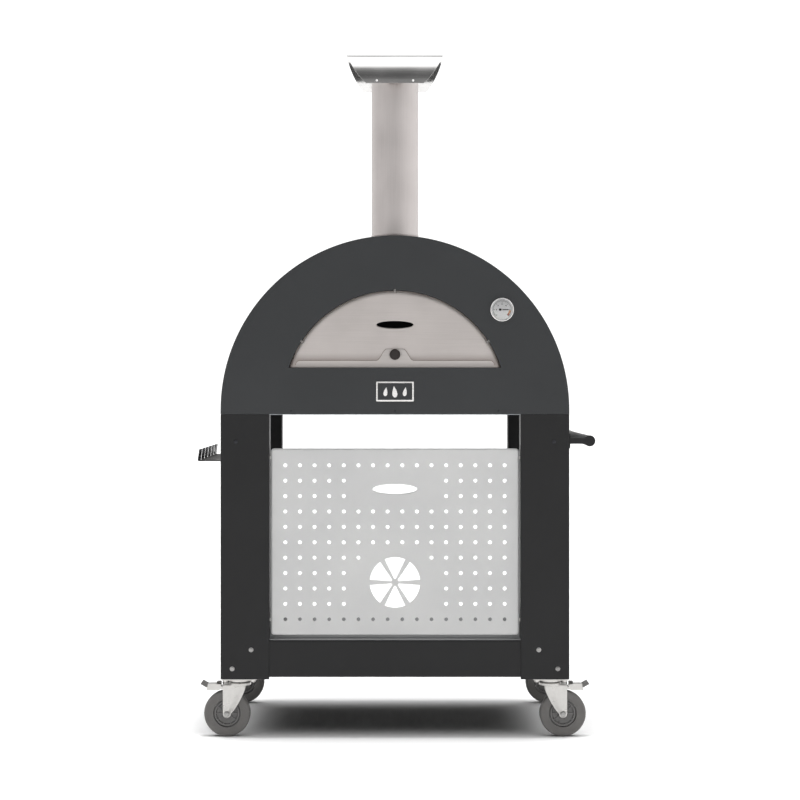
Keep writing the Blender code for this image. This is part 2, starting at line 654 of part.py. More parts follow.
def make_front_panel(finishes):
    outline = round_rectangle(PANEL_HALF, PANEL_BOTTOM, PANEL_TOP, PANEL_CORNER, 4)
    panel = part(prism(outline, "Y", PANEL_FACE, PANEL_FACE + PANEL_DEPTH),
                 "front_panel", finishes["panel"], (0, PANEL_FACE, PANEL_BOTTOM))
    pocket = round_rectangle(PANEL_HALF - PANEL_SHEET, PANEL_BOTTOM + PANEL_SHEET, PANEL_TOP - PANEL_SHEET,
                             PANEL_CORNER - PANEL_SHEET, 4)
    cut(panel, prism(pocket, "Y", PANEL_FACE + PANEL_SHEET, PANEL_FACE + PANEL_DEPTH + BITE))
    for side in (-1, 1):
        for z in PANEL_TAB_Z:
            reach = sorted((side * (PANEL_HALF - 0.001), side * (LEG_INNER + SHEET + 0.004)))
            join(panel, box(reach, PANEL_TAB, (z - 0.004, z + 0.004)))
    near, far = PANEL_FACE - BITE, PANEL_FACE + 0.005
    holes = [rod(HOLE_R, "Y", (x, 0, z), near, far, 6) for x, z in hole_centres()]
    slot = oval(PANEL_SLOT_HALF_WIDTH, PANEL_SLOT_HALF_HEIGHT, PANEL_SLOT_Z, 24)
    holes.append(prism(slot, "Y", near, far))
    holes += [prism(outline, "Y", near, far) for outline in wedge_outlines()]
    cut(panel, merged(holes))


def make_rack(finishes):
    length = RACK_FINGERS * RACK_FINGER + (RACK_FINGERS - 1) * RACK_SLOT
    span = (RACK_FRONT, RACK_FRONT + length)
    seat = -ARCH_R - GAP
    floor = box((-REACH, seat), span, (RACK_BOTTOM, RACK_BOTTOM + SHEET))
    rack = part(floor, "tool_rack", finishes["cart"])
    join(rack, box((-REACH, SHEET - REACH), span, (RACK_BOTTOM + 0.001, RACK_BOTTOM + RACK_LIP)))
    join(rack, box((seat - SHEET, seat), span, (RACK_BOTTOM + 0.001, RACK_BOTTOM + RACK_FLANGE)))
    slots = []
    for i in range(RACK_FINGERS - 1):
        low = RACK_FRONT + (i + 1) * RACK_FINGER + i * RACK_SLOT
        slots.append(box((-REACH - BITE, RACK_SLOT_END), (low, low + RACK_SLOT),
                         (RACK_BOTTOM - BITE, RACK_BOTTOM + 0.05)))
    cut(rack, merged(slots))


def make_handle(finishes):
    centre = REACH - HANDLE_R
    seat = ARCH_R + GAP
    lean = math.asin(HANDLE_ARM / HANDLE_R)
    outline = [(seat, HANDLE_Z + HANDLE_ARM), (seat, HANDLE_Z - HANDLE_ARM)]
    outline += arc(HANDLE_R, (centre, HANDLE_Z), lean - math.pi, math.pi - lean, 16)
    for end, place in ((-1, "front"), (1, "rear")):
        plate = sorted(end * y for y in BRACKET)
        bracket = part(prism(outline, "Y", *plate), "handle_bracket_" + place, finishes["cart"])
        foot = sorted((end * (BRACKET[1] - 0.0005), end * BRACKET_FOOT))
        join(bracket, box((seat, seat + SHEET), foot,
                          (HANDLE_Z - BRACKET_FOOT_HALF, HANDLE_Z + BRACKET_FOOT_HALF)))
    part(rod(HANDLE_R - 0.001, "Y", (centre, 0, HANDLE_Z), GAP - BRACKET[0], BRACKET[0] - GAP, 20),
         "handle_tube", finishes["cart"], smooth=True)


def tyre_profile():
    upper = [(WHEEL_R, TYRE_HALF - TYRE_SHOULDER), (WHEEL_R - 0.0018, TYRE_HALF - 0.0018),
             (WHEEL_R - TYRE_SHOULDER, TYRE_HALF), (HUB_R + GAP, TYRE_HALF - 0.003)]
    return upper + [(r, -y) for r, y in upper[::-1]]


def make_caster(side, end, place, finishes):
    y = end * CASTER_Y
    swivel = empty_at("swivel_" + place, (side * SWIVEL_X, y, 0))
    race = (side * SWIVEL_X, y, 0)
    plate_top = LEG_BOTTOM - GAP
    plate_low = plate_top - PLATE_SHEET
    plate = part(box((side * SWIVEL_X - PLATE_HALF_WIDTH, side * SWIVEL_X + PLATE_HALF_WIDTH),
                     (y - PLATE_HALF_DEPTH, y + PLATE_HALF_DEPTH), (plate_low, plate_top)),
                 "caster_plate_" + place, finishes["zinc"], race)
    join(plate, turned(((0, RACE_SEAT), (RACE_R - 0.003, RACE_SEAT), (RACE_R, RACE_SEAT + 0.0025),
                        (RACE_R, plate_low + 0.001), (0, plate_low + 0.001)), "Z", race, 16))

    crown_top = RACE_SEAT - GAP
    fork = part(turned(((0, CROWN_BOTTOM), (CROWN_R, CROWN_BOTTOM), (CROWN_R, crown_top - 0.002),
                        (CROWN_R - 0.003, crown_top), (0, crown_top)), "Z", race, 16),
                "caster_fork_" + place, finishes["zinc"], race, swivel)
    bridge = sorted((side * CHEEK_NEAR, side * (CHEEK_FAR - 0.001)))
    outside = CHEEK_IN + CHEEK
    join(fork, box(bridge, (y - outside, y + outside), (CHEEK_TOP - 0.001, CROWN_BOTTOM + 0.0025)))
    tip = arc(CHEEK_TIP_R, (WHEEL_X, WHEEL_R), math.radians(-150), math.radians(0), 6)
    cheek = [(CHEEK_NEAR, CHEEK_TOP)] + tip + [(CHEEK_FAR, CHEEK_TOP)]
    for face in (-1, 1):
        span = sorted((y + face * CHEEK_IN, y + face * outside))
        join(fork, prism([(side * x, z) for x, z in cheek], "Y", *span))
    axle_centre = (side * WHEEL_X, y, WHEEL_R)
    cut(fork, rod(AXLE_R + 0.0004, "Y", axle_centre, -0.03, 0.03, 8))

    wheel = empty_at("wheel_" + place, axle_centre)
    wheel.parent = swivel
    wheel.location -= swivel.location
    head = outside + GAP
    bolt = ((0, -head - 0.004), (AXLE_HEAD_R, -head - 0.004), (AXLE_HEAD_R, -head), (AXLE_R, -head),
            (AXLE_R, head), (AXLE_HEAD_R, head), (AXLE_HEAD_R, head + 0.005), (0, head + 0.005))
    part(turned(bolt, "Y", axle_centre, 8), "caster_axle_" + place, finishes["zinc"], axle_centre)
    hub = ((HUB_BORE_R, -HUB_BOSS_HALF), (HUB_BOSS_R, -HUB_BOSS_HALF), (HUB_BOSS_R + 0.002, -HUB_HALF),
           (HUB_R, -HUB_HALF), (HUB_R, HUB_HALF), (HUB_BOSS_R + 0.002, HUB_HALF), (HUB_BOSS_R, HUB_BOSS_HALF),
           (HUB_BORE_R, HUB_BOSS_HALF))
    part(turned(hub, "Y", axle_centre, 20), "caster_hub_" + place, finishes["hub"], axle_centre, smooth=True)
    part(turned(tyre_profile(), "Y", axle_centre, 28), "caster_tyre_" + place, finishes["tyre"],
         axle_centre, smooth=True)


def make_brake(side, place, finishes):
    """A pedal hinged between the fork's cheeks, above the tyre, with its rubber-faced tip raised."""
    y = -CASTER_Y
    part(prism([(side * x, z) for x, z in PEDAL], "Y", y - PEDAL_HALF, y + PEDAL_HALF),
         "brake_pedal_" + place, finishes["zinc"], (side * PEDAL_HINGE[0], y, PEDAL_HINGE[1]))


def main():
    clear_scene()
    finishes = make_finishes()
    make_body(finishes)
    make_firebox(finishes)
    make_chimney(finishes)
    make_door(finishes)
    make_gauge(finishes)
    make_badge(finishes)
    make_frame(finishes)
    make_front_panel(finishes)
    make_rack(finishes)
    make_handle(finishes)
    for end, along in ((-1, "front"), (1, "rear")):
        for side, hand in ((-1, "left"), (1, "right")):
            make_caster(side, end, f"{along}_{hand}", finishes)
    for side, hand in ((-1, "left"), (1, "right")):
        make_brake(side, "front_" + hand, finishes)


main()
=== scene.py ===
"""The looks of a wood fired pizza oven on a wheeled cart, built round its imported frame."""

import json
import math

import bmesh
import bpy
from mathutils import Matrix, Vector

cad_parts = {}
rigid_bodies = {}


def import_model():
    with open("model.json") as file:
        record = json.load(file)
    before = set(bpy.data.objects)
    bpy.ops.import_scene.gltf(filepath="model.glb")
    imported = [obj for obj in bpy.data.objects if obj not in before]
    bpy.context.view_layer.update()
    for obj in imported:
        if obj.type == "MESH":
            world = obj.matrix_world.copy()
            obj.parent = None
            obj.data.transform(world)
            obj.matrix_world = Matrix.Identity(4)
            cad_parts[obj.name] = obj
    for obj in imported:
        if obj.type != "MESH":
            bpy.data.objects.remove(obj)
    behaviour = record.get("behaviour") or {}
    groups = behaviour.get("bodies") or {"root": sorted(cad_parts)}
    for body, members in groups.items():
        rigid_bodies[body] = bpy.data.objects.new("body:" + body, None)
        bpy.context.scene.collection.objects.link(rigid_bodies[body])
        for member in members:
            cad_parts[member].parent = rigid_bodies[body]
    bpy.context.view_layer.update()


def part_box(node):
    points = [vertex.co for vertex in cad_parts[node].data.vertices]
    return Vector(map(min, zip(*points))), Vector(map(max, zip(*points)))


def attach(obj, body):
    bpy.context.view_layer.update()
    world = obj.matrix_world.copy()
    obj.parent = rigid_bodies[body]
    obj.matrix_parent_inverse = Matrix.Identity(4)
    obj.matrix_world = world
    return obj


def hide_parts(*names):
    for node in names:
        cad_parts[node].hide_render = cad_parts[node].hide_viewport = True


for leftover in list(bpy.data.objects):
    bpy.data.objects.remove(leftover)
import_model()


# --- Front of the casing --------------------------------------------------------------------------
# One steel sheet, cut to a half round with the mouth and the thermometer's hole in it. Its edge is folded
# back over the shell. It is coated with anthracite powder, and three dark screws hold it along its foot.

oven = "oven_and_cart"
front = (0, -1, 0)
fascia_low, fascia_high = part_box("front_fascia")
casing_radius = fascia_high.x
casing_middle = fascia_high.z - casing_radius
casing_foot = fascia_low.z
mouth_radius = 0.300
mouth_middle = 0.905
sill = 0.997
gauge_spot = (0.288, 1.153)


def colour(hex_value):
    """An sRGB hex value as the linear red, green, blue and alpha that shaders take."""
    channels = [int(hex_value[i:i + 2], 16) / 255 for i in (0, 2, 4)]
    return [c / 12.92 if c <= 0.04045 else ((c + 0.055) / 1.055) ** 2.4 for c in channels] + [1.0]


def add(material, kind, sockets=None, **settings):
    """Adds a node. Settings are its properties. Sockets are its inputs, each a value or a node's output."""
    node = material.node_tree.nodes.new("ShaderNode" + kind)
    for name, value in settings.items():
        setattr(node, name, value)
    for name, value in (sockets or {}).items():
        if isinstance(value, bpy.types.NodeSocket):
            material.node_tree.links.new(value, node.inputs[name])
        else:
            node.inputs[name].default_value = value
    return node


def started(name, **sockets):
    """A new material, its shader, and the places on the piece in metres that its patterns are read from."""
    material = bpy.data.materials.new(name)
    material.use_nodes = True
    shader = material.node_tree.nodes["Principled BSDF"]
    for socket, value in sockets.items():
        shader.inputs[socket.replace("_", " ")].default_value = value
    return material, shader, add(material, "TexCoord").outputs["Object"]


def linked(material, shader, **sockets):
    for socket, output in sockets.items():
        material.node_tree.links.new(output, shader.inputs[socket.replace("_", " ")])
    return material


def noise(material, spot, size, detail, distortion=0.0):
    """Smooth noise with features of about this many millimetres."""
    return add(material, "TexNoise", {"Vector": spot, "Scale": 1000 / size, "Detail": detail,
                                      "Distortion": distortion}).outputs["Fac"]


def ramp(material, value, start, end, low=0.0, high=1.0, **settings):
    """Carries what a value does from start to end over to a value from low to high."""
    return add(material, "MapRange", {"Value": value, "From Min": start, "From Max": end,
                                      "To Min": low, "To Max": high}, **settings).outputs["Result"]


def blend(material, share, first, second, **settings):
    """Goes from one colour to another by a share. Each colour is a hex value or another node's output."""
    hues = [colour(hue) if isinstance(hue, str) else hue for hue in (first, second)]
    return add(material, "Mix", {0: share, 6: hues[0], 7: hues[1]}, data_type="RGBA", **settings).outputs[2]


def product(material, first, second):
    return add(material, "Math", {0: first, 1: second}, operation="MULTIPLY").outputs["Value"]


def upward(material, vector):
    return add(material, "SeparateXYZ", {"Vector": vector}).outputs["Z"]


def bump(material, height, strength, distance, under=None):
    """Relief of a depth in metres, laid over the relief under it."""
    sockets = {"Height": height, "Strength": strength, "Distance": distance}
    if under is not None:
        sockets["Normal"] = under
    return add(material, "Bump", sockets).outputs["Normal"]


def powder_coat(name, shade, pale, dust, peel, gloss, shine=0.5):
    """Powder coat: a skin of plastic melted on to steel. It gives the eye an even colour with a faint orange
    peel, a soft broken gloss, and a film of dust on what faces up. Its grain of 0.4 mm is drawn at 1.8 mm."""
    material, shader, spot = started(name, IOR=1.5, Specular_IOR_Level=shine)
    grain = noise(material, spot, 1.8, 2.0)
    drift = noise(material, spot, 240, 3.0)
    skin = blend(material, ramp(material, drift, 0.3, 0.7), shade, pale)
    facing = add(material, "NewGeometry").outputs["Normal"]
    settled = ramp(material, upward(material, facing), 0.55, 1.0, 0.0, 0.30)
    dusty = blend(material, product(material, settled, drift), skin, dust)
    dull = ramp(material, grain, 0.3, 0.7, gloss - 0.05, gloss + 0.06)
    peeled = bump(material, noise(material, spot, peel, 2.0), 0.10, 0.0010)
    grainy = bump(material, grain, 0.30, 0.00035, peeled)
    return linked(material, shader, Base_Color=dusty, Roughness=dull, Normal=grainy)


def arc(radius, centre, start, end, steps):
    """Places (across, up) along an arc, between angles in degrees."""
    angles = [math.radians(start + (end - start) * i / steps) for i in range(steps + 1)]
    return [(centre[0] + radius * math.cos(a), centre[1] + radius * math.sin(a)) for a in angles]


def arch(grow, foot=casing_foot, base=casing_radius):
    """The casing's half round outline, grown by some metres, from its right foot over the top to its left
    foot. A foot above the middle of the round cuts the round short."""
    radius = base + grow
    if foot > casing_middle:
        start = math.degrees(math.asin((foot - casing_middle) / radius))
        return arc(radius, (0, casing_middle), start, 180 - start, 98)
    return [(radius, foot)] + arc(radius, (0, casing_middle), 0, 180, 96) + [(-radius, foot)]


def mouth(grow):
    """The mouth's outline, grown by some metres: a round top cut off by the level sill."""
    radius = mouth_radius + grow
    start = math.degrees(math.asin((sill - grow - mouth_middle) / radius))
    return arc(radius, (0, mouth_middle), start, 180 - start, 72)


def ring_of(radius, centre, steps=32):
    return arc(radius, centre, 0, 360, steps)[:-1]


def flat_face(outline, holes, y):
    """A flat sheet facing the front, and its edges' vertices: the outline's, then each hole's."""
    shape = bmesh.new()
    loops = [[shape.verts.new((x, y, z)) for x, z in loop] for loop in (outline, *holes)]
    edges = [shape.edges.new(pair) for loop in loops for pair in zip(loop, loop[1:] + loop[:1])]
    bmesh.ops.triangle_fill(shape, edges=edges, use_beauty=True)
    bmesh.ops.recalc_face_normals(shape, faces=shape.faces)
    if sum(face.normal.y * face.calc_area() for face in shape.faces) > 0:
        bmesh.ops.reverse_faces(shape, faces=shape.faces)
    return shape, loops


def add_rim(shape, edge, outline_at, profile, closed=True, inward=False):
    """Carries a sheet's edge on through a profile of (growth, y) places. Inward is for a hole."""
    for growth, y in profile:
        ring = [shape.verts.new((x, y, z)) for x, z in outline_at(growth)]
        for i in range(len(ring) - (not closed)):
            j = (i + 1) % len(ring)
            corners = (ring[i], ring[j], edge[j], edge[i])
            shape.faces.new(corners[::-1] if inward else corners)
        edge = ring
    return edge


def fold(radius, front, depth, steps=5):
    """The (growth, y) places of an edge folded back from a face at y front, with this outer radius."""
    turns = [math.radians(90 * i / steps) for i in range(1, steps + 1)]
    curve = [(radius * (math.sin(t) - 1), front + radius * (1 - math.cos(t))) for t in turns]
    return curve + [(0, front + depth)]


def piece(shape, name, body, finish, stands_for=(), thick=0.0, edge=0.0, sharp=38):
    """A shape as a finished object. Thick makes a sheet of it, inwards from its faces, and edge rounds it."""
    mesh = bpy.data.meshes.new(name)
    if not thick:
        bmesh.ops.recalc_face_normals(shape, faces=shape.faces)
    shape.to_mesh(mesh)
    shape.free()
    obj = bpy.data.objects.new(name, mesh)
    bpy.context.scene.collection.objects.link(obj)
    if thick:
        wall = obj.modifiers.new("sheet", "SOLIDIFY")
        wall.thickness, wall.offset, wall.use_even_offset = thick, -1, True
    if edge:
        soft = obj.modifiers.new("edges", "BEVEL")
        soft.width, soft.segments, soft.limit_method, soft.angle_limit = edge, 2, "ANGLE", math.radians(sharp)
    obj.data = bpy.data.meshes.new_from_object(obj.evaluated_get(bpy.context.evaluated_depsgraph_get()))
    obj.modifiers.clear()
    obj.data.name = name
    obj.data.materials.clear()
    obj.data.materials.append(finish)
    obj.data.shade_smooth()
    obj.data.set_sharp_from_angle(angle=math.radians(sharp))
    obj.modifiers.new("even shading", "WEIGHTED_NORMAL").keep_sharp = True
    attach(obj, body)
    if stands_for:
        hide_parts(*stands_for)
    return obj


def turned(profile, centre, axis=(0, 0, 1), steps=48, closed=False, shape=None):
    """Turns (radius, height) places about an axis through centre. A third value, 6, makes a ring a hexagon."""
    shape = shape or bmesh.new()
    turn = Vector((0, 0, 1)).rotation_difference(Vector(axis)).to_matrix()
    rings = []
    for radius, height, *sides in profile:
        ring = []
        for i in range(steps if radius else 1):
            angle = 2 * math.pi * i / steps
            reach = radius
            if sides:
                half = math.pi / sides[0]
                reach = radius / math.cos(angle % (2 * half) - half)
            spot = turn @ Vector((reach * math.cos(angle), reach * math.sin(angle), height))
            ring.append(shape.verts.new(Vector(centre) + spot))
        rings.append(ring)
    for first, second in zip(rings, rings[1:] + (rings[:1] if closed else [])):
        for i in range(steps):
            j = (i + 1) % steps
            corners = [first[i % len(first)], first[j % len(first)]]
            corners += [second[j % len(second)], second[i % len(second)]]
            corners = list(dict.fromkeys(corners))
            if len(corners) > 2:
                shape.faces.new(corners)
    return shape


def button_screw(shape, spot, axis, radius, tall):
    """A button head with a hexagon socket, lying on a surface at spot and facing along axis."""
    socket = radius * 0.46
    profile = [(0, -0.0002), (radius * 0.98, -0.0002), (radius, tall * 0.15)]
    profile += [(radius * math.cos(math.radians(a)), tall * (0.25 + 0.75 * math.sin(math.radians(a))))
                for a in (0, 18, 36, 54)]
    profile += [(socket * 1.22, tall * 0.98), (socket, tall * 0.94, 6), (socket, tall * 0.35, 6)]
    profile += [(0, tall * 0.3)]
    turned(profile, spot, axis, 24, shape=shape)


anthracite = powder_coat("anthracite powder coat", "222426", "27292B", "6E6C68", 7.0, 0.46)

shape, loops = flat_face(arch(-0.003), [mouth(0.0), ring_of(0.0265, gauge_spot)], fascia_low.y)
add_rim(shape, loops[0], arch, fold(0.003, fascia_low.y, fascia_high.y - fascia_low.y), closed=False)
piece(shape, "casing_front", oven, anthracite, ["front_fascia"], 0.0024, 0.0004)

fascia_screws = bmesh.new()
for x in (-0.279, 0.0, 0.279):
    button_screw(fascia_screws, (x, fascia_low.y, 0.8806), front, 0.0030, 0.0014)


# --- Shell and rear cover -------------------------------------------------------------------------
# The shell is one sheet bent over the oven from foot to foot. The rear cover closes the back: it has the
# same folded edge as the front, a raised field pressed into it, and screws round its border.

shell_low, shell_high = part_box("outer_shell")
rear_low, rear_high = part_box("rear_cover")
pipe_low, pipe_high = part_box("flue_pipe")
flue_spot = Vector((0, (pipe_low.y + pipe_high.y) / 2, 0))
flue_radius = pipe_high.x


def lofted(rows, flip=False):
    """A sheet through rows of points, each row with as many points as the next."""
    shape = bmesh.new()
    lines = [[shape.verts.new(point) for point in row] for row in rows]
    for first, second in zip(lines, lines[1:]):
        for i in range(len(first) - 1):
            corners = (first[i], first[i + 1], second[i + 1], second[i])
            shape.faces.new(corners[::-1] if flip else corners)
    return shape


def drawn_out(outline, low, high, count=1, flip=False):
    """A sheet with an (across, up) outline, drawn out from y low to y high."""
    places = [low + (high - low) * i / count for i in range(count + 1)]
    return lofted([[(x, y, z) for x, z in outline] for y in places], flip)


def drum(radius, low, high, spot, steps=48):
    """A closed upright cylinder, to cut a round hole with."""
    return turned([(0, low), (radius, low), (radius, high), (0, high)], spot, steps=steps)


def cut_by(obj, cutter):
    """Cuts a closed shape out of a finished piece."""
    tool = bpy.data.objects.new("tool", bpy.data.meshes.new("tool"))
    bmesh.ops.recalc_face_normals(cutter, faces=cutter.faces)
    cutter.to_mesh(tool.data)
    cutter.free()
    bpy.context.scene.collection.objects.link(tool)
    change = obj.modifiers.new("cut", "BOOLEAN")
    change.operation, change.object, change.solver = "DIFFERENCE", tool, "EXACT"
    mesh = bpy.data.meshes.new_from_object(obj.evaluated_get(bpy.context.evaluated_depsgraph_get()))
    obj.modifiers.remove(change)
    obj.data = mesh
    bpy.data.objects.remove(tool)
    return obj


shell_grow = shell_high.x - casing_radius
below_flue, above_shell = 1.2, 1.4
shape = drawn_out(arch(shell_grow, shell_low.z), shell_low.y, shell_high.y, flip=True)
shell = piece(shape, "casing_shell", oven, anthracite, ["outer_shell"], 0.0022, 0.0003)
cut_by(shell, drum(flue_radius + 0.001, below_flue, above_shell, flue_spot))

border = 0.060
step = 0.008
field_foot = casing_foot + border
back = rear_high.y - step


def field(grow):
    return arch(grow - border, field_foot - grow)


shape, loops = flat_face(arch(-0.003), [field(0)], -back)
add_rim(shape, loops[0], arch, fold(0.003, -back, back - rear_low.y), closed=False)
rises = [(-step * share, -back - step * (0.5 - 0.5 * math.cos(math.pi * share)))
         for share in (0.2, 0.5, 0.8, 1.0)]
shape.faces.new(add_rim(shape, loops[1], field, rises, inward=True))
bmesh.ops.rotate(shape, verts=shape.verts, matrix=Matrix.Rotation(math.pi, 3, "Z"))
piece(shape, "casing_back", oven, anthracite, ["rear_cover"], 0.0018, 0.0004)


def mottled(name, shade, pale, size, detail, distortion=0.0, **sockets):
    """A material whose colour drifts between two shades in patches of about this many millimetres."""
    material, shader, spot = started(name, **sockets)
    patches = noise(material, spot, size, detail, distortion)
    return linked(material, shader, Base_Color=blend(material, patches, shade, pale))


black_zinc = mottled("black zinc plated screw", "26272A", "4A4B4E", 1.2, 2.0, Metallic=1.0, Roughness=0.42)

rear_screws = bmesh.new()
for angle in range(8, 180, 23):
    x, z = arc(casing_radius - border / 2, (0, casing_middle), angle - 1.5, angle, 1)[0]
    button_screw(rear_screws, (x, back, z), (0, 1, 0), 0.0045, 0.0026)
for x in (-0.30, -0.10, 0.10, 0.30):
    button_screw(rear_screws, (x, back, casing_foot + border / 2), (0, 1, 0), 0.0045, 0.0026)
piece(rear_screws, "casing_back_screws", oven, black_zinc)
piece(fascia_screws, "casing_front_screws", oven, black_zinc)


# --- Tray, insulation and firebox -----------------------------------------------------------------
# Inside the casing: a galvanised tray, a board and blankets of ceramic fibre, two cast stone slabs as the
# hearth, and the stainless firebox: a bent vault, a back, and a front wall with the throat that lines the
# mouth.

tray_low, tray_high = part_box("base_tray")
vault_low, vault_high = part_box("firebox_vault")
throat_low, throat_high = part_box("mouth_frame")


def rounded(points, radius, steps=4):
    """An open run of 2D points with its corners rounded, as a press brake leaves a sheet."""
    made = [points[0]]
    for before, corner, after in zip(points, points[1:], points[2:]):
        into = (Vector(before) - Vector(corner)).normalized()
        out = (Vector(after) - Vector(corner)).normalized()
        half = into.angle(out) / 2
        centre = Vector(corner) + (into + out).normalized() * radius / math.sin(half)
        first = Vector(corner) + into * radius / math.tan(half) - centre
        last = Vector(corner) + out * radius / math.tan(half) - centre
        turn = first.angle(last)
        for i in range(steps + 1):
            part = i / steps * turn
            between = first * math.sin(turn - part) + last * math.sin(part)
            made.append(tuple(centre + between / math.sin(turn)))
    return made + [points[-1]]


def block(first, second):
    """A closed box between two opposite corners."""
    low = Vector([min(pair) for pair in zip(first, second)])
    high = Vector([max(pair) for pair in zip(first, second)])
    shape = bmesh.new()
    bmesh.ops.create_cube(shape, size=1.0)
    bmesh.ops.scale(shape, verts=shape.verts, vec=high - low)
    bmesh.ops.translate(shape, verts=shape.verts, vec=(high + low) / 2)
    return shape


galvanised, shader, spot = started("galvanised steel", Metallic=1.0)
spangle = add(galvanised, "TexVoronoi", {"Vector": spot, "Scale": 1000 / 9}).outputs["Color"]
linked(galvanised, shader, Base_Color=blend(galvanised, spangle, "8F9498", "B9BDC0"),
       Roughness=ramp(galvanised, spangle, 0.0, 1.0, 0.34, 0.55))

tray_top = tray_low.z + 0.0125
section = rounded([(tray_low.x, tray_top), (tray_low.x, tray_low.z), (tray_high.x, tray_low.z),
                   (tray_high.x, tray_top)], 0.004)
piece(drawn_out(section, tray_low.y, tray_high.y), "base_tray_sheet", oven, galvanised,
      ["base_tray"], 0.0018, 0.0003)

# Ceramic fibre gives the eye a chalky white felt: loose fibres of 10 mm, drawn 1.5 mm apart, and soft
# hollows.
fibre, shader, spot = started("needled ceramic fibre", Roughness=0.95, IOR=1.3)
felt = noise(fibre, spot, 1.5, 6.0, 1.5)
hollows = bump(fibre, noise(fibre, spot, 40, 2.0), 0.6, 0.006)
linked(fibre, shader, Base_Color=blend(fibre, felt, "D8D4C8", "F2EFE8"),
       Normal=bump(fibre, felt, 0.7, 0.001, hollows))

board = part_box("floor_insulation")
piece(block(*board), "insulation_board", oven, fibre, ["floor_insulation"], edge=0.004)

blanket_low, blanket_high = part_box("insulation_blanket")


def felt_arch(radius, foot):
    start = math.degrees(math.asin(max(foot - casing_middle, 0.0) / radius))
    return arc(radius, (0, casing_middle), start, 180 - start, 72)


clear = 0.0005
outer = blanket_high.x - clear
felt_foot = blanket_low.z + clear
front_pad = (blanket_low.y + clear, vault_low.y - 0.0035)
back_pad = (vault_high.y + 0.0045, blanket_high.y - clear)
for name, (near, far), holes in (("front", front_pad, [mouth(0.006)]), ("back", back_pad, [])):
    shape = flat_face(felt_arch(outer, felt_foot), holes, near)[0]
    piece(shape, f"blanket_{name}_pad", oven, fibre, (), far - near, 0.006)
rows = []
for i in range(25):
    y = front_pad[1] + clear + (back_pad[0] - front_pad[1] - 2 * clear) * i / 24
    row = []
    for n, (x, z) in enumerate(felt_arch(outer, felt_foot)):
        slack = 1 - 0.006 * (0.5 + 0.5 * math.sin(n * 0.9 + 0.4 * i)) * math.sin(math.pi * i / 24)
        row.append((x * slack, y, casing_middle + (z - casing_middle) * slack))
    rows.append(row)
blanket = piece(lofted(rows, flip=True), "blanket_over_vault", oven, fibre,
                ["insulation_blanket"], outer - vault_high.x - 0.004, 0.004)
cut_by(blanket, drum(flue_radius + 0.001, below_flue, above_shell, flue_spot))

# Cast refractory stone gives the eye a sandy buff ground with pale and brown grit of 1 to 4 mm and
# pinholes, browned a little where the fire has been.
stone, shader, spot = started("cast refractory stone", Roughness=0.88, IOR=1.5)
grit = add(stone, "TexVoronoi", {"Vector": spot, "Scale": 1000 / 4})
sand = noise(stone, spot, 2, 5.0)
pebble = ramp(stone, grit.outputs["Distance"], 0.16, 0.28, 0.6, 0.0)
flecked = blend(stone, pebble, blend(stone, sand, "B8A383", "D6C6A8"), grit.outputs["Color"],
                blend_type="SOFT_LIGHT")
burnt = ramp(stone, noise(stone, spot, 170, 4.0), 0.45, 0.7, 0.0, 0.5)
linked(stone, shader, Base_Color=blend(stone, burnt, flecked, "7A6247"), Normal=bump(stone, sand, 0.5, 0.0012))
for hand in ("left", "right"):
    piece(block(*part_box("hearth_tile_" + hand)), "hearth_slab_" + hand, oven, stone,
          ["hearth_tile_" + hand], edge=0.003)


def brushed_steel(name, shade, pale, grain, gloss, soot=None, painted_shade=None):
    """Stainless steel ground with a belt: fine lines along the sheet that streak the shine, and faint clouds
    where hands and heat have been. Lines 0.1 mm apart are drawn 0.9 mm apart to show. Soot darkens a sheet
    upwards from the sill, and the last argument gives painted shade that deepens from one height to another."""
    material, shader, spot = started(name, Metallic=1.0)
    along, across = 1000 / 120, 1000 / 0.9
    stretch = {"X": (along, across, across), "Y": (across, along, across), "Z": (across, across, along)}[grain]
    laid = add(material, "Mapping", {"Vector": spot, "Scale": stretch})
    lines = noise(material, laid.outputs["Vector"], 1000, 3.0)
    clouds = noise(material, spot, 110, 3.0)
    mixed = add(material, "Math", {0: lines, 1: clouds}, operation="ADD").outputs["Value"]
    tone = blend(material, ramp(material, mixed, 0.75, 1.25), shade, pale)
    dull = ramp(material, mixed, 0.7, 1.3, gloss - 0.06, gloss + 0.08)
    if soot:
        raised = ramp(material, upward(material, spot), sill, sill + 0.3)
        tone = blend(material, product(material, raised, clouds), tone, soot)
    # Painted shade: a darker hue, deepening from one height to another.
    if painted_shade:
        hue, start, end, amount = painted_shade
        painted_shade_share = ramp(material, upward(material, spot), start, end, 0.0, amount,
                         interpolation_type="SMOOTHSTEP")
        tone = blend(material, painted_shade_share, tone, hue)
    return linked(material, shader, Base_Color=tone, Roughness=dull, Normal=bump(material, lines, 0.12, 0.0003))


vault_steel = brushed_steel("heat tinted vault steel", "8E8478", "B0A28C", "X", 0.40, soot="2E2824")
vault_radius = vault_high.x


def vault(grow, foot=vault_low.z):
    return arch(grow, foot, vault_radius)


bent = piece(drawn_out(vault(0), vault_low.y, vault_high.y, flip=True), "firebox_bent_vault", oven, vault_steel,
             ["firebox_vault"], 0.002, 0.0003)
cut_by(bent, drum(flue_radius - 0.002, below_flue, above_shell, flue_spot))
shape = flat_face(vault(-0.0003, vault_low.z + 0.0003), [], vault_high.y + 0.0004)[0]
piece(shape, "firebox_back_wall", oven, vault_steel, ["firebox_back"], 0.002, 0.0003)
shape, loops = flat_face(vault(-0.0003, vault_low.z + 0.0003), [mouth(0.0026)], throat_high.y)
bmesh.ops.reverse_faces(shape, faces=shape.faces)
add_rim(shape, loops[1], mouth, [(0.0026, throat_low.y)])
throat_steel = brushed_steel("satin throat steel", "A8A4A1", "BAB6B3", "X", 0.38)
piece(shape, "firebox_front_and_throat", oven, throat_steel, ["mouth_frame"],
      0.0018, 0.0003)


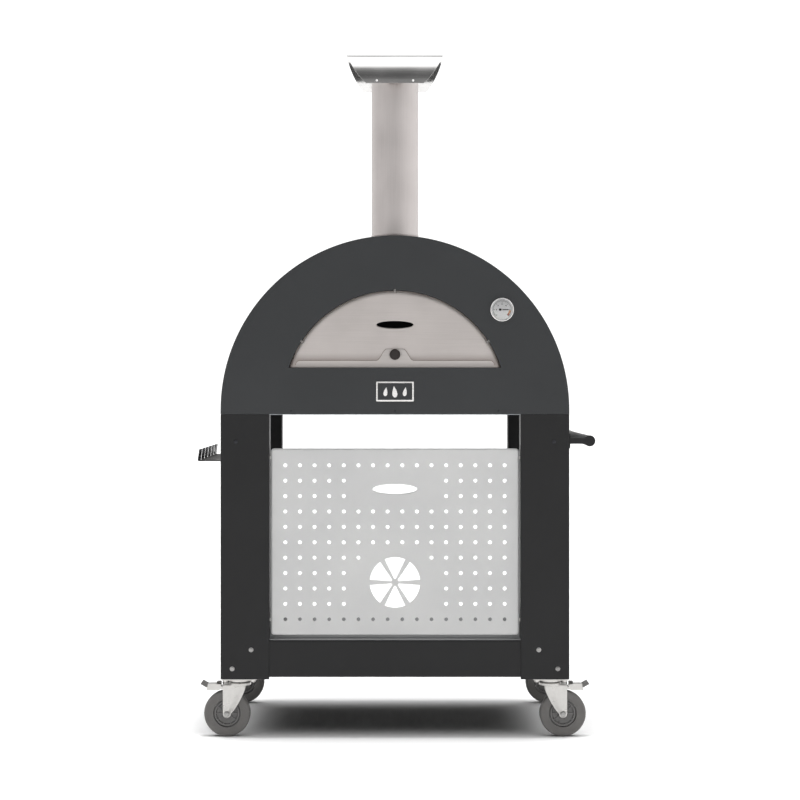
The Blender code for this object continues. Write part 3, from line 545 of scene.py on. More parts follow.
# --- Door and air flap ----------------------------------------------------------------------------
# The door is a satin steel sheet with a soft rolled edge, held away from the casing's face by three small
# stops. A slot in it opens into a black box for the fingers. A low flap with a dark knob slides up to let
# in air.

door_low, door_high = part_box("door_panel")
flap_low, flap_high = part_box("air_flap")
grip_low, grip_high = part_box("door_grip")
knob_low, knob_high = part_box("air_knob")
slot_height = 1.113
satin = brushed_steel("satin stainless steel", "BBB5B2", "C6C0BD", "X", 0.44)
# Painted shade on the door and the flap: the door darkens down to the flap's top, the flap down to the sill.
door_steel = brushed_steel("satin stainless door steel", "B6B0AD", "C1BBB8", "X", 0.44,
                           painted_shade=("8C837E", 1.040, 1.016, 0.62))
flap_steel = brushed_steel("satin stainless flap steel", "B2ADAA", "BDB8B5", "X", 0.44,
                           painted_shade=("8E8986", 1.015, 0.998, 0.70))


def door_edge(grow):
    """The door's outline. Only its round edge grows, because its foot is cut straight along the sill."""
    radius = mouth_radius - 0.0004 + grow
    start = math.degrees(math.asin((sill + 0.0006 - mouth_middle) / radius))
    return arc(radius, (0, mouth_middle), start, 180 - start, 72)


def oval(centre, half_wide, half_tall, steps):
    turns = [2 * math.pi * i / steps for i in range(steps)]
    return [(centre[0] + half_wide * math.cos(t), centre[1] + half_tall * math.sin(t)) for t in turns]


def slot_edge(grow):
    return oval((0, slot_height), 0.0495 + grow, 0.0095 + grow, 48)


door_fold, fold_deep = 0.013, 0.0045
turns = [math.radians(t) for t in (8, 16, 24, 33, 42, 51, 60, 70, 80, 90)]
roll = [(door_fold * (math.sin(t) - 1), door_low.y + fold_deep * (1 - math.cos(t))) for t in turns]
shape, loops = flat_face(door_edge(-door_fold), [slot_edge(0.003)], door_low.y)
add_rim(shape, loops[0], door_edge, roll + [(0, door_high.y)])
add_rim(shape, loops[1], slot_edge, [(-g, y) for g, y in fold(0.003, door_low.y, 0.0035)], inward=True)
piece(shape, "door_sheet", "door", door_steel, ["door_panel"], 0.0015, 0.0003)

# Zinc plate on small pressings gives the eye a dull mid grey, patchy where it was handled.
pressed_zinc = mottled("dull zinc plate", "6E6C6A", "949290", 4, 4.0, Metallic=1.0, Roughness=0.5)

stops = bmesh.new()
for angle in (33, 90, 147):
    out = Vector((math.cos(math.radians(angle)), 0, math.sin(math.radians(angle))))
    side = Vector((-out.z, 0, out.x))
    middle = Vector((0, 0, mouth_middle))
    inner, face = mouth_radius - 0.0040, fascia_low.y - 0.0016
    run = rounded([(inner, door_low.y + 0.012), (inner, face), (mouth_radius + 0.0028, face)], 0.0012, 3)
    lines = [[stops.verts.new(middle + out * reach + side * wide + Vector((0, y, 0))) for reach, y in run]
             for wide in (-0.0026, 0.0026)]
    for i in range(len(run) - 1):
        stops.faces.new((lines[0][i], lines[1][i], lines[1][i + 1], lines[0][i + 1]))
piece(stops, "door_stops", "door", pressed_zinc, (), 0.0010, 0.0002)

# Matt black lacquer gives the eye a black that shows almost no shine.
lacquer = mottled("matt black lacquer", "020202", "060606", 3, 3.0, Roughness=0.8, IOR=1.3)


def round_rectangle(low, high, radius, grow=0.0, steps=5):
    """Points round a rectangle with rounded corners, given its (across, up) corners."""
    left, right, foot, top = low[0] + radius, high[0] - radius, low[1] + radius, high[1] - radius
    points = []
    for centre, start in (((right, foot), -90), ((right, top), 0), ((left, top), 90), ((left, foot), 180)):
        points += arc(radius + grow, centre, start, start + 90, steps)
    return points


grip_wall = 0.0015
grip_back = grip_high.y - grip_wall


def grip_edge(grow):
    return round_rectangle((grip_low.x + grip_wall, grip_low.z + grip_wall),
                           (grip_high.x - grip_wall, grip_high.z - grip_wall), 0.006, grow)


shape, loops = flat_face(grip_edge(-0.003), [], grip_back)
walls = [(grow, 2 * grip_back - y) for grow, y in fold(0.003, grip_back, grip_back - grip_low.y)]
add_rim(shape, loops[0], grip_edge, walls)
piece(shape, "door_grip_box", "door", lacquer, ["door_grip"], grip_wall, 0.0003)

rise = flap_high.z
shoulder = 1.0163
corner_radius = 0.012
right = arc(corner_radius, (flap_high.x - corner_radius, shoulder - corner_radius), 0, 90, 8)
hump = [(0.050 - 0.028 * i / 16, shoulder + (rise - shoulder) * (0.5 - 0.5 * math.cos(math.pi * i / 16)))
        for i in range(17)]
half = [(flap_high.x, sill + 0.0004)] + right + hump
top_line = right + hump + [(-x, z) for x, z in (right + hump)[::-1]]
shape = flat_face(half + [(-x, z) for x, z in half[::-1]], [], flap_low.y)[0]
piece(shape, "air_flap_plate", "air_flap", flap_steel, ["air_flap"],
      flap_high.y - flap_low.y, 0.0008)

# A thin dark brown line is painted along the flap's top edge: a painted shadow line.
painted_shadow_line = mottled("flap edge painted shadow", "5A4E48", "7C6E66", 6, 3.0, Metallic=1.0, Roughness=0.55)
lines = []
for offset in (0.0006, -0.0004):
    line = []
    for i, (x, z) in enumerate(top_line):
        ahead = Vector(top_line[min(i + 1, len(top_line) - 1)]) - Vector(top_line[max(i - 1, 0)])
        out = Vector((ahead.y, -ahead.x)).normalized()
        line.append((x + out.x * offset, flap_low.y - 0.0001, z + out.y * offset))
    lines.append(line)
piece(lofted(lines), "air_flap_painted_shadow", "air_flap", painted_shadow_line, (), 0.0012)

# Phenolic gives the eye a dark brown gloss with a grain of wood flour just under it.
phenolic = mottled("dark brown phenolic", "1C1513", "2A211E", 1.2, 4.0, Roughness=0.38, IOR=1.6,
                   Specular_IOR_Level=0.3)
knob_spot = ((knob_low.x + knob_high.x) / 2, knob_high.y, (knob_low.z + knob_high.z) / 2)
knob_radius = (knob_high.z - knob_low.z) / 2
knob_long = knob_high.y - knob_low.y
profile = [(0, 0), (knob_radius * 0.70, 0), (knob_radius * 0.72, knob_long * 0.40),
           (knob_radius * 0.95, knob_long * 0.52), (knob_radius, knob_long * 0.66)]
knob_edge = 0.0022
profile += [(knob_radius + knob_edge * (math.cos(math.radians(a)) - 1),
             knob_long + knob_edge * (math.sin(math.radians(a)) - 1)) for a in (0, 22, 45, 67, 90)]
profile += [(knob_radius * 0.78, knob_long - 0.0001), (knob_radius * 0.75, knob_long - 0.0008),
            (knob_radius * 0.70, knob_long - 0.0008), (knob_radius * 0.66, knob_long - 0.0001), (0, knob_long)]
piece(turned(profile, knob_spot, front), "air_flap_knob", "air_flap", phenolic, ["air_knob"])


# --- Thermometer ----------------------------------------------------------------------------------
# A bimetal dial thermometer: a spun steel can with a polished bezel rolled over its glass, a printed
# aluminium dial, a black needle with a counterweight, and a stem that reaches into the oven and is held by
# a nut.

case_low, case_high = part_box("gauge_case")
dial_low, dial_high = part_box("gauge_dial")
glass_low, glass_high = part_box("gauge_glass")
needle_low, needle_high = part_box("gauge_needle")
bezel_radius = (case_high.x - case_low.x) / 2 - 0.0007
dial_radius = (dial_high.x - dial_low.x) / 2
skin = fascia_low.y
polished = brushed_steel("polished stainless steel", "E2E1E0", "F0EFEE", "X", 0.20)


face_spot = (gauge_spot[0], 0, gauge_spot[1])


def spun(places, steps, **more):
    """Turns (radius, y) places about the thermometer's axis. A third value, 6, makes a ring a hexagon."""
    return turned([(radius, -y, *sides) for radius, y, *sides in places], face_spot, front, steps, **more)


bead = 0.0018
profile = [(0.0040, -0.2965), (0.0255, -0.2965), (0.0258, -0.300), (0.0258, skin + 0.0024),
           (bezel_radius - 0.001, skin - 0.0002), (bezel_radius, skin - 0.0012)]
profile += [(bezel_radius + bead * (math.cos(math.radians(a)) - 1),
             case_low.y - bead * (math.sin(math.radians(a)) - 1)) for a in range(0, 91, 15)]
profile += [(dial_radius + 0.0011, case_low.y + 0.0004), (dial_radius + 0.0006, case_low.y + 0.0014),
            (dial_radius + 0.0003, dial_low.y), (dial_radius + 0.0003, dial_high.y + 0.0002),
            (0.0040, dial_high.y + 0.0002)]
piece(spun(profile, 64, closed=True), "gauge_can", oven, polished, ["gauge_case"], sharp=30)

stem = spun([(0, -0.2963), (0.0110, -0.2963), (0.0110, -0.2880), (0.0048, -0.2876), (0.0048, -0.2700),
             (0.0035, -0.2690), (0.0035, -0.1712), (0.0024, -0.170), (0, -0.170)], 24)
nut = [(0.0062, -0.2872), (0.0085, -0.2866, 6), (0.0085, -0.2810, 6), (0.0062, -0.2804)]
spun(nut, 24, closed=True, shape=stem)
piece(stem, "gauge_stem_and_nut", oven, satin)

# Printed aluminium gives the eye a silvery grey with a very fine circular turning. Its upper part carries
# painted shade, darker towards its upper edge.
dial_metal, shader, spot = started("turned aluminium dial", Metallic=0.10, Roughness=0.5)
# Painted shade: the dial darkens towards its upper edge.
darker = ramp(dial_metal, upward(dial_metal, spot), gauge_spot[1] - 0.01, gauge_spot[1] + 0.028)
centred = add(dial_metal, "VectorMath", {0: spot, 1: face_spot}, operation="SUBTRACT").outputs["Vector"]
turning = add(dial_metal, "TexWave", {"Vector": centred, "Scale": 420.0, "Distortion": 1.0},
              wave_type="RINGS", rings_direction="Y").outputs["Fac"]
base = blend(dial_metal, turning, "F4F4F3", "FDFDFC")
linked(dial_metal, shader, Base_Color=blend(dial_metal, darker, base, "C2C1C3"))
plate = spun([(0, dial_high.y), (dial_radius, dial_high.y), (dial_radius, dial_low.y), (0, dial_low.y)], 64)
piece(plate, "gauge_dial_plate", oven, dial_metal, ["gauge_dial"])


def ink(name, shade, pale):
    """Screen printing ink: a flat matt film, slightly uneven where the screen's threads were."""
    return mottled(name, shade, pale, 0.8, 2.0, Roughness=0.6, IOR=1.45)


def dial_mark(shape, start, end, inner, outer, steps=1):
    """A printed mark between two angles in degrees and two radii, a film just in front of the dial."""
    y = dial_low.y - 0.00008
    lines = [[shape.verts.new((x, y, z)) for x, z in arc(radius, gauge_spot, start, end, steps)]
             for radius in (inner, outer)]
    for i in range(steps):
        shape.faces.new((lines[0][i], lines[0][i + 1], lines[1][i + 1], lines[1][i]))
    return shape


marks = bmesh.new()
scale_edge = dial_radius * 0.86
for n in range(31):
    middle = 225 - 9 * n
    long, half = (0.0055, 1.1) if n % 5 == 0 else (0.0030, 0.7)
    dial_mark(marks, middle + half, middle - half, scale_edge - long, scale_edge)
dial_mark(marks, 226, -46, dial_radius * 0.865, dial_radius * 0.89, 48)
for n in range(1, 6):
    middle = 225 - 45 * n
    dial_mark(marks, middle + 7, middle - 7, dial_radius * 0.50, dial_radius * 0.565, 4)
film = 0.00006
piece(marks, "gauge_scale", oven, ink("black printed scale", "141414", "242424"), thick=film)
for name, hue, (shade, pale), start, end, steps in (
        ("gauge_working_zone", "orange", ("DE9C68", "E6AE80"), -4, -30, 8),
        ("gauge_hot_zone", "red", ("B2604A", "C0705A"), -30.5, -46, 6)):
    zone = dial_mark(bmesh.new(), start, end, dial_radius * 0.66, dial_radius * 0.84, steps)
    piece(zone, name, oven, ink(hue + " printed zone", shade, pale), thick=film)

reach = needle_high.x - gauge_spot[0]
tail = gauge_spot[0] - needle_low.x
outline = arc(0.0034, (0.0030 - tail, 0), 30, 330, 16)
outline += [(0.0, -0.0015), (reach * 0.6, -0.0012), (reach, 0.0), (reach * 0.6, 0.0012), (0.0, 0.0015)]
outline = [(gauge_spot[0] + x, gauge_spot[1] + z) for x, z in outline[::-1]]
shape = flat_face(outline, [], needle_low.y + 0.0002)[0]
hub = spun([(0, needle_high.y + 0.0009), (0.0012, needle_high.y + 0.0009), (0.0012, needle_low.y + 0.0006),
            (0.0018, needle_low.y + 0.0004), (0.0019, needle_low.y - 0.0001), (0.0015, needle_low.y - 0.0004),
            (0, needle_low.y - 0.0005)], 24)
piece(hub, "gauge_needle_hub", "gauge_needle", satin)
piece(shape, "gauge_needle_blade", "gauge_needle", lacquer, ["gauge_needle"], 0.0004)

# Window glass gives the eye a clear sheet with a few rubbed places.
glass, shader, spot = started("clear gauge glass", Transmission_Weight=1.0, IOR=1.45, Roughness=0.0)
rubbed = noise(glass, spot, 12, 4.0)
linked(glass, shader, Base_Color=blend(glass, rubbed, "FAFAFA", "FFFFFF"),
       Roughness=ramp(glass, rubbed, 0.55, 0.8, 0.0, 0.08))
glass_radius = (glass_high.x - glass_low.x) / 2
bevel = 0.0003
pane = spun([(0, glass_high.y), (glass_radius - bevel, glass_high.y), (glass_radius, glass_high.y - bevel),
             (glass_radius, glass_low.y + bevel), (glass_radius - bevel, glass_low.y), (0, glass_low.y)], 64)
piece(pane, "gauge_window", oven, glass, ["gauge_glass"])


# --- Badge ----------------------------------------------------------------------------------------
# A small stamped plate under the mouth: a bright raised border round a dark field with three bright flames
# on it.

badge_low, badge_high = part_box("badge_plate")
border_wide = 0.0045


def badge_outline(inset, radius, grow, steps):
    return round_rectangle((badge_low.x + inset, badge_low.z + inset),
                           (badge_high.x - inset, badge_high.z - inset), radius, grow, steps)


def plate_edge(grow):
    return badge_outline(0.0003, 0.0022, grow, 4)


def field_edge(grow):
    return badge_outline(border_wide, 0.0012, grow, 3)


def flame(centre, tall, lean=0.0):
    """The outline of one flame, a drop with a leaning tip."""
    points = []
    for i in range(28):
        share = i / 28
        angle = 2 * math.pi * share
        up = 0.5 - 0.5 * math.cos(angle)
        wide = 0.30 * tall * math.sin(angle) * (1 - up) ** 0.62
        points.append((centre[0] + wide + lean * up ** 2, centre[1] + tall * up))
    return points


shape, loops = flat_face(plate_edge(-0.0008), [field_edge(0.0)], badge_low.y)
add_rim(shape, loops[0], plate_edge, fold(0.0008, badge_low.y, badge_high.y - badge_low.y, 3))
add_rim(shape, loops[1], field_edge, [(-0.0003, badge_low.y + 0.0009)], inward=True)
bright = brushed_steel("polished badge steel", "DAD8D6", "EFEEEC", "X", 0.24)
middle = (badge_low.z + badge_high.z) / 2
for x, tall, lean in ((-0.026, 0.024, 0.003), (0.0, 0.031, -0.003), (0.026, 0.024, 0.003)):
    drop = flat_face(flame((x, middle - tall * 0.52), tall, lean), [], badge_low.y + 0.0001)[0]
    mesh = bpy.data.meshes.new("flame")
    drop.to_mesh(mesh)
    shape.from_mesh(mesh)
    drop.free()
piece(shape, "badge_border_and_flames", oven, bright, ["badge_plate"], 0.0007)

# Baked enamel gives the eye a deep black, faintly clouded, with a soft shine.
enamel = mottled("black badge enamel", "1C1E20", "26282A", 1.5, 3.0, Roughness=0.35, IOR=1.5)
shape = flat_face(field_edge(0.0002), [], badge_low.y + 0.0008)[0]
piece(shape, "badge_field", oven, enamel, thick=0.0006)


# --- Flue and cap ---------------------------------------------------------------------------------
# A rolled steel pipe with a welded seam at the back, a spun collar where it leaves the shell, and a half
# barrel of polished sheet over its top, hung on a strap by four rivets.

collar_low, collar_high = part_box("flue_collar")
cap_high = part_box("chimney_cap")[1]
strap_low, strap_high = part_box("cap_strap")
pipe_steel = brushed_steel("satin flue steel", "B8B2B0", "C3BDBB", "Z", 0.40)

skirt_top = 1.3535
profile = [(flue_radius + 0.0014, collar_low.z + 0.001), (collar_high.x - 0.0006, collar_low.z),
           (collar_high.x, collar_low.z + 0.001), (collar_high.x, skirt_top),
           (collar_high.x - 0.0008, skirt_top + 0.0013), (0.0712, collar_high.z - 0.0008),
           (0.0690, collar_high.z), (flue_radius + 0.0004, collar_high.z),
           (flue_radius + 0.0004, collar_high.z - 0.002)]
collar = piece(turned(profile, flue_spot, steps=96, closed=True), "flue_spun_collar", oven, pipe_steel,
               ["flue_collar"], sharp=30)
bore = arch(shell_grow + 0.0003, 1.2)
shape, loops = flat_face(bore, [], flue_spot.y - 0.12)
add_rim(shape, loops[0], lambda grow: bore, [(0, flue_spot.y + 0.12)])
shape.faces.new([v for v in shape.verts if v.co.y > flue_spot.y])
cut_by(collar, shape)

bead_foot, bead_top, pipe_end = 1.3665, 1.3725, pipe_high.z - 0.0045
profile = [(flue_radius, pipe_low.z), (flue_radius, bead_foot)]
profile += [(flue_radius + 0.0016 * math.sin(math.radians(a)), bead_foot + (bead_top - bead_foot) * a / 180)
            for a in range(30, 180, 30)]
profile += [(flue_radius, bead_top + (pipe_end - bead_top) * i / 8) for i in range(9)]
profile += [(flue_radius + 0.0004, pipe_high.z - 0.0022), (flue_radius - 0.0002, pipe_high.z - 0.0003),
            (flue_radius - 0.0010, pipe_high.z)]
piece(turned(profile, flue_spot, steps=96), "flue_rolled_pipe", oven, pipe_steel,
      ["flue_pipe"], 0.0012)
seam_foot, seam_top = 1.375, pipe_high.z - 0.006
rows = []
for i in range(61):
    z = seam_foot + (seam_top - seam_foot) * i / 60
    swell = 0.0007 + 0.00015 * math.sin(i * 2.4)
    row = []
    for x in (-0.0030, -0.0018, 0.0, 0.0018, 0.0030):
        reach = math.sqrt((flue_radius - 0.0004) ** 2 - x * x) + (swell if abs(x) < 0.002 else 0)
        row.append((x, flue_spot.y + reach, z))
    rows.append(row)
piece(lofted(rows), "flue_weld_seam", oven, pipe_steel, thick=0.0005)

cap_radius = 0.120
cap_reach = 0.196
cap_axis = cap_high.z - cap_radius
cap_front, cap_rear = math.radians(-77.5), math.radians(72.5)
cap_inner = cap_radius - 0.0004


def cap_place(radius, angle, x):
    return (x, flue_spot.y + radius * math.sin(angle), cap_axis + radius * math.cos(angle))


rows = []
for i in range(65):
    angle = cap_front + (cap_rear - cap_front) * i / 64
    width = cap_high.x * math.sqrt(1 - (cap_radius * abs(angle) / cap_reach) ** 2.3)
    rows.append([cap_place(cap_inner, angle, x / 6 * width) for x in range(-6, 7)])
cap_steel = brushed_steel("bright rolled cap steel", "CFCECD", "E2E1E0", "X", 0.16)
piece(lofted(rows, flip=True), "flue_cap_barrel", oven, cap_steel,
      ["chimney_cap"], 0.0011, 0.0003)

strap_foot = strap_low.z + 0.001
strap = rounded([(strap_low.y, strap_foot), (strap_low.y, strap_high.z), (strap_high.y, strap_high.z),
                 (strap_high.y, strap_foot)], 0.003)
rows = [[(x, y, z) for y, z in strap] for x in (-0.058, 0.058)]
hanger = piece(lofted(rows), "flue_cap_strap", oven, satin, ["cap_strap"], 0.0018, 0.0004)
cut_by(hanger, drum(flue_radius - 0.005, strap_high.z - 0.01, strap_high.z + 0.01, flue_spot))

rivets = bmesh.new()
for angle in (math.radians(-73.7), math.radians(69.0)):
    for x in (-0.050, 0.050):
        centre = Vector(cap_place(cap_inner, angle, x))
        out = Vector((0, math.sin(angle), math.cos(angle)))
        turned([(0, 0), (0.0034, 0), (0.0036, 0.0006), (0.0030, 0.0017), (0.0017, 0.0025), (0, 0.0028)],
               centre, out, 20, shape=rivets)
piece(rivets, "flue_cap_rivets", oven, polished)


# --- Cart -----------------------------------------------------------------------------------------
# Four legs, each a folded channel of 2.5 mm steel with a welded foot plate, joined by four folded beams
# that carry a loose grey shelf with its middle pressed up. Black powder coat, stainless bolts and dark
# screws.

cart_coat = powder_coat("black cart powder coat", "131314", "171718", "5E5C58", 7.0, 0.44, 0.32)
shelf_coat = powder_coat("grey shelf powder coat", "7C7D7E", "858687", "98969A", 9.0, 0.48)

# Bright zinc gives the eye a pale warm silver with faint cloudy patches, duller in some than in others.
zinc, shader, spot = started("bright zinc plate", Metallic=1.0)
bloom = noise(zinc, spot, 14, 5.0, 0.6)
linked(zinc, shader, Base_Color=blend(zinc, bloom, "B6B4B1", "D0CECB"),
       Roughness=ramp(zinc, bloom, 0.3, 0.7, 0.26, 0.40))


def facing_out(shape, inside):
    """Turns a bent sheet's faces away from a point inside its bend."""
    shape.normal_update()
    outwards = 0.0
    for face in shape.faces:
        outwards += face.normal.dot(face.calc_center_median() - Vector(inside)) * face.calc_area()
    if outwards < 0:
        bmesh.ops.reverse_faces(shape, faces=shape.faces)
    return shape


def steps_between(low, high, count):
    return [low + (high - low) * i / count for i in range(count + 1)]


stainless = brushed_steel("stainless bolt heads", "8E8D8C", "B2B1AF", "X", 0.32)
cart_bolts = bmesh.new()
side_screws = bmesh.new()
fore_and_aft = (("front", -1), ("rear", 1))
both_hands = (("left", -1), ("right", 1))
sheet = 0.0025
bend = 0.0035
tab_heights = (0.754, 0.317)
foot_bolts = ((0.387, 0.238), (0.438, 0.187))
for place, end in fore_and_aft:
    for hand, side in both_hands:
        name = f"leg_{place}_{hand}"
        low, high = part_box(name)
        outer = max(abs(low.x), abs(high.x))
        inner = min(abs(low.x), abs(high.x))
        face = max(abs(low.y), abs(high.y))
        section = rounded([(outer, face - 0.105), (outer, face), (inner, face), (inner, face - 0.055)], bend)
        rows = [[(side * x, end * y, z) for x, y in section] for z in steps_between(low.z, high.z, 12)]
        shape = facing_out(lofted(rows), (side * 0.40, end * 0.28, 0.5))
        leg = piece(shape, name + "_channel", oven, cart_coat, [name], sheet, 0.0003)
        near, far = side * (inner - 0.004), side * (inner + 0.0026)
        cut_by(leg, block((near, end * (face - 0.0026), low.z - 0.01), (far, end * (face - 0.060), 0.2656)))
        if place == "front":
            for z in tab_heights:
                cut_by(leg, block((near, -0.3035, z - 0.0045), (far, -0.2955, z + 0.0345)))
        foot = block((side * (outer - 0.0030), end * (face - 0.0030), low.z + 0.0001),
                     (side * (inner + 0.004), end * (face - 0.104), low.z + 0.004))
        piece(foot, name + "_foot_plate", oven, cart_coat, edge=0.0006)
        outward = (0, end, 0)
        for x, z in foot_bolts:
            turned([(0.0063, -0.0001), (0.0063, 0.0007), (0.0058, 0.0010), (0, 0.0010)],
                   (side * x, end * face, z), outward, 32, shape=cart_bolts)
            button_screw(cart_bolts, (side * x, end * (face + 0.0009), z), outward, 0.0050, 0.0027)
        button_screw(side_screws, (side * 0.4280, end * face, 0.798), outward, 0.0055, 0.0022)
        for y in (0.240, 0.292):
            button_screw(side_screws, (side * outer, end * y, 0.222), (side, 0, 0), 0.0046, 0.0022)
piece(cart_bolts, "cart_bolts", oven, stainless)

for place, end in fore_and_aft:
    low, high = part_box(place + "_beam")
    face = max(abs(low.y), abs(high.y))
    section = rounded([(face, low.z), (face, high.z), (0.2900, high.z)], bend)
    rows = [[(x, end * y, z) for y, z in section] for x in steps_between(low.x, high.x, 10)]
    shape = facing_out(lofted(rows), (0, end * 0.30, 0.20))
    piece(shape, place + "_folded_beam", oven, cart_coat, [place + "_beam"], sheet, 0.0003)
for hand, side in both_hands:
    low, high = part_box("side_beam_" + hand)
    face = max(abs(low.x), abs(high.x))
    section = rounded([(face, low.z), (face, high.z), (0.4392, high.z)], bend)
    rows = [[(side * x, y, z) for x, z in section] for y in steps_between(low.y, high.y, 8)]
    shape = facing_out(lofted(rows), (side * 0.45, 0, 0.20))
    beam = piece(shape, "side_folded_beam_" + hand, oven, cart_coat, ["side_beam_" + hand],
                 sheet, 0.0003)
    for end in (-1, 1):
        cut_by(beam, block((side * 0.4630, end * 0.2895, high.z - 0.006),
                           (side * 0.430, end * 0.320, high.z + 0.004)))

shelf_low, shelf_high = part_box("shelf")


def shelf_edge(grow):
    return round_rectangle((shelf_low.x, shelf_low.y), (shelf_high.x, shelf_high.y), 0.003, grow, 4)


def shelf_field(grow):
    return round_rectangle((-0.325, -0.280), (0.325, 0.300), 0.014, grow, 6)


# The shelf's underside is painted near black, as painted shade under the cart.
under = ramp(shelf_coat, upward(shelf_coat, add(shelf_coat, "NewGeometry").outputs["Normal"]), -0.2, -0.6)
shader = shelf_coat.node_tree.nodes["Principled BSDF"]
top_coat = shader.inputs["Base Color"].links[0].from_socket
linked(shelf_coat, shader, Base_Color=blend(shelf_coat, under, top_coat, "0E0E0E"))
shelf_step = 0.0015
shelf_top = shelf_high.z - shelf_step
shape, loops = flat_face(shelf_edge(-0.0012), [shelf_field(0.0)], -shelf_top)
add_rim(shape, loops[0], shelf_edge, fold(0.0012, -shelf_top, 0.0018, 3))
pressed = [(-0.0010, -shelf_top - 0.0003), (-0.0022, -shelf_top - 0.0012), (-0.0032, -shelf_high.z)]
shape.faces.new(add_rim(shape, loops[1], shelf_field, pressed, inward=True))
bmesh.ops.rotate(shape, verts=shape.verts, matrix=Matrix.Rotation(-math.pi / 2, 3, "X"))
piece(shape, "shelf_pressed_sheet", oven, shelf_coat, ["shelf"], 0.0018, 0.0003, 60)


# --- Front panel ----------------------------------------------------------------------------------
# A light grey panel of 1.8 mm sheet punched with rows of 10 mm holes, a lipped finger slot and a pizza cut
# in six. Its edges are folded back all round, and four zinc tabs on its sides drop into slots in the front
# legs.

panel_low, panel_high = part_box("front_panel")
panel_half = 0.335
panel_coat = powder_coat("light grey powder coat", "CCCCCC", "D4D4D3", "D2D1CF", 8.0, 0.50)


def panel_edge(grow):
    return round_rectangle((-panel_half, panel_low.z), (panel_half, panel_high.z), 0.009, grow, 6)


def finger_slot(grow):
    return oval((0, 0.670), 0.060 + grow, 0.013 + grow, 56)


# How many holes each row leaves out in the middle, for the slot and the pizza.
plain_middle = {1: 6, 2: 6, 6: 4, 7: 6, 8: 6, 9: 6}
hole_radius, across_pitch, down_pitch, top_row = 0.0051, 0.0394, 0.0415, 0.734
punched = []
for row in range(11):
    for column in range(16):
        place = column - 7.5
        if abs(place) > plain_middle.get(row, 0) / 2:
            punched.append(ring_of(hole_radius, (place * across_pitch, top_row - row * down_pitch), 20))
pizza_spot = (0, 0.4185)
for n in range(6):
    middle = 60 * n + 30
    point = arc(0.010, pizza_spot, middle - 12, middle + 12, 3)
    punched.append(point + arc(0.068, pizza_spot, middle + 24, middle - 24, 14))
panel_fold = 0.006
shape, loops = flat_face(panel_edge(-panel_fold), [finger_slot(0.0035)] + punched, panel_low.y)
add_rim(shape, loops[0], panel_edge, fold(panel_fold, panel_low.y, panel_high.y - panel_low.y, 6))
add_rim(shape, loops[1], finger_slot, [(-g, y) for g, y in fold(0.0035, panel_low.y, 0.0060)], inward=True)
piece(shape, "front_panel_sheet", "front_panel", panel_coat, ["front_panel"], 0.0018, 0.0002)

for n, (side, z) in enumerate((s, z) for s in (-1, 1) for z in tab_heights):
    reach = sorted((side * (panel_half - 0.0022), side * (panel_high.x if side > 0 else -panel_low.x)))
    tab = round_rectangle((reach[0], z - 0.004), (reach[1], z + 0.004), 0.0012, 0.0, 3)
    shape = flat_face(tab, [], -0.3018)[0]
    piece(shape, f"front_panel_tab_{n + 1}", "front_panel", zinc, thick=0.0046, edge=0.0006)


# --- Push handle and tool rack --------------------------------------------------------------------
# Right: a steel tube between two welded plate brackets, screwed to the legs. Left: one folded sheet whose
# outer lip is cut into six upright fingers. The five gaps between them are for hanging tools, and are empty.

tube_low, tube_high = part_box("handle_tube")
tube_spot = Vector(((tube_low.x + tube_high.x) / 2, 0, (tube_low.z + tube_high.z) / 2))
tube_radius = (tube_high.z - tube_low.z) / 2
profile = [(0, tube_low.y + 0.0002), (tube_radius - 0.0008, tube_low.y + 0.0002),
           (tube_radius, tube_low.y + 0.001)]
profile += [(tube_radius, y) for y in steps_between(tube_low.y + 0.002, tube_high.y - 0.002, 20)]
profile += [(tube_radius, tube_high.y - 0.001), (tube_radius - 0.0008, tube_high.y - 0.0002),
            (0, tube_high.y - 0.0002)]
piece(turned(profile, tube_spot, (0, 1, 0), 40), "push_handle_tube", oven, cart_coat,
      ["handle_tube"])
for place, end in fore_and_aft:
    low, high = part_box("handle_bracket_" + place)
    seat = low.x
    radius = high.x - tube_spot.x
    half_arm = 0.008
    lean = math.degrees(math.asin(half_arm / radius))
    outline = [(seat, tube_spot.z + half_arm), (seat, tube_spot.z - half_arm)]
    outline += arc(radius, (tube_spot.x, tube_spot.z), lean - 180, 180 - lean, 32)
    near, far = sorted((end * 0.311, end * 0.316))
    shape = flat_face(outline, [], near)[0]
    piece(shape, "handle_plate_" + place, oven, cart_coat, ["handle_bracket_" + place],
          far - near, 0.0008)
    foot = block((seat, end * 0.3155, low.z), (seat + sheet, end * 0.276, high.z))
    piece(foot, "handle_foot_" + place, oven, cart_coat, edge=0.0008)
    for z in (tube_spot.z - 0.0125, tube_spot.z + 0.0125):
        button_screw(side_screws, (seat + sheet, end * 0.290, z), (1, 0, 0), 0.0042, 0.0022)

rack_low, rack_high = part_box("tool_rack")
lip_top = rack_low.z + 0.0325
finger, gap, root = 0.064, 0.0302, -0.492
section = rounded([(rack_high.x, rack_high.z), (rack_high.x, rack_low.z), (rack_low.x, rack_low.z),
                   (rack_low.x + 0.0040, lip_top)], bend)
over_floor = ((rack_low.x + rack_high.x) / 2, (rack_low.y + rack_high.y) / 2, 0.77)
rack = piece(facing_out(drawn_out(section, rack_low.y, rack_high.y, 24), over_floor), "rack_folded_sheet", oven,
             cart_coat, ["tool_rack"], 0.0022, 0.0003)
gap_end = root - gap / 2
for n in range(5):
    start = rack_low.y + (n + 1) * finger + n * gap
    cut_by(rack, block((rack_low.x - 0.01, start, rack_low.z - 0.01), (gap_end, start + gap, lip_top + 0.01)))
    cut_by(rack, drum(gap / 2, rack_low.z - 0.01, rack_low.z + 0.02, (gap_end, start + gap / 2, 0), 32))
for y in (-0.225, -0.105, 0.235, 0.285):
    button_screw(side_screws, (rack_high.x - 0.0022, y, rack_high.z - 0.012), (-1, 0, 0), 0.0042, 0.0022)
piece(side_screws, "side_screws", oven, black_zinc)


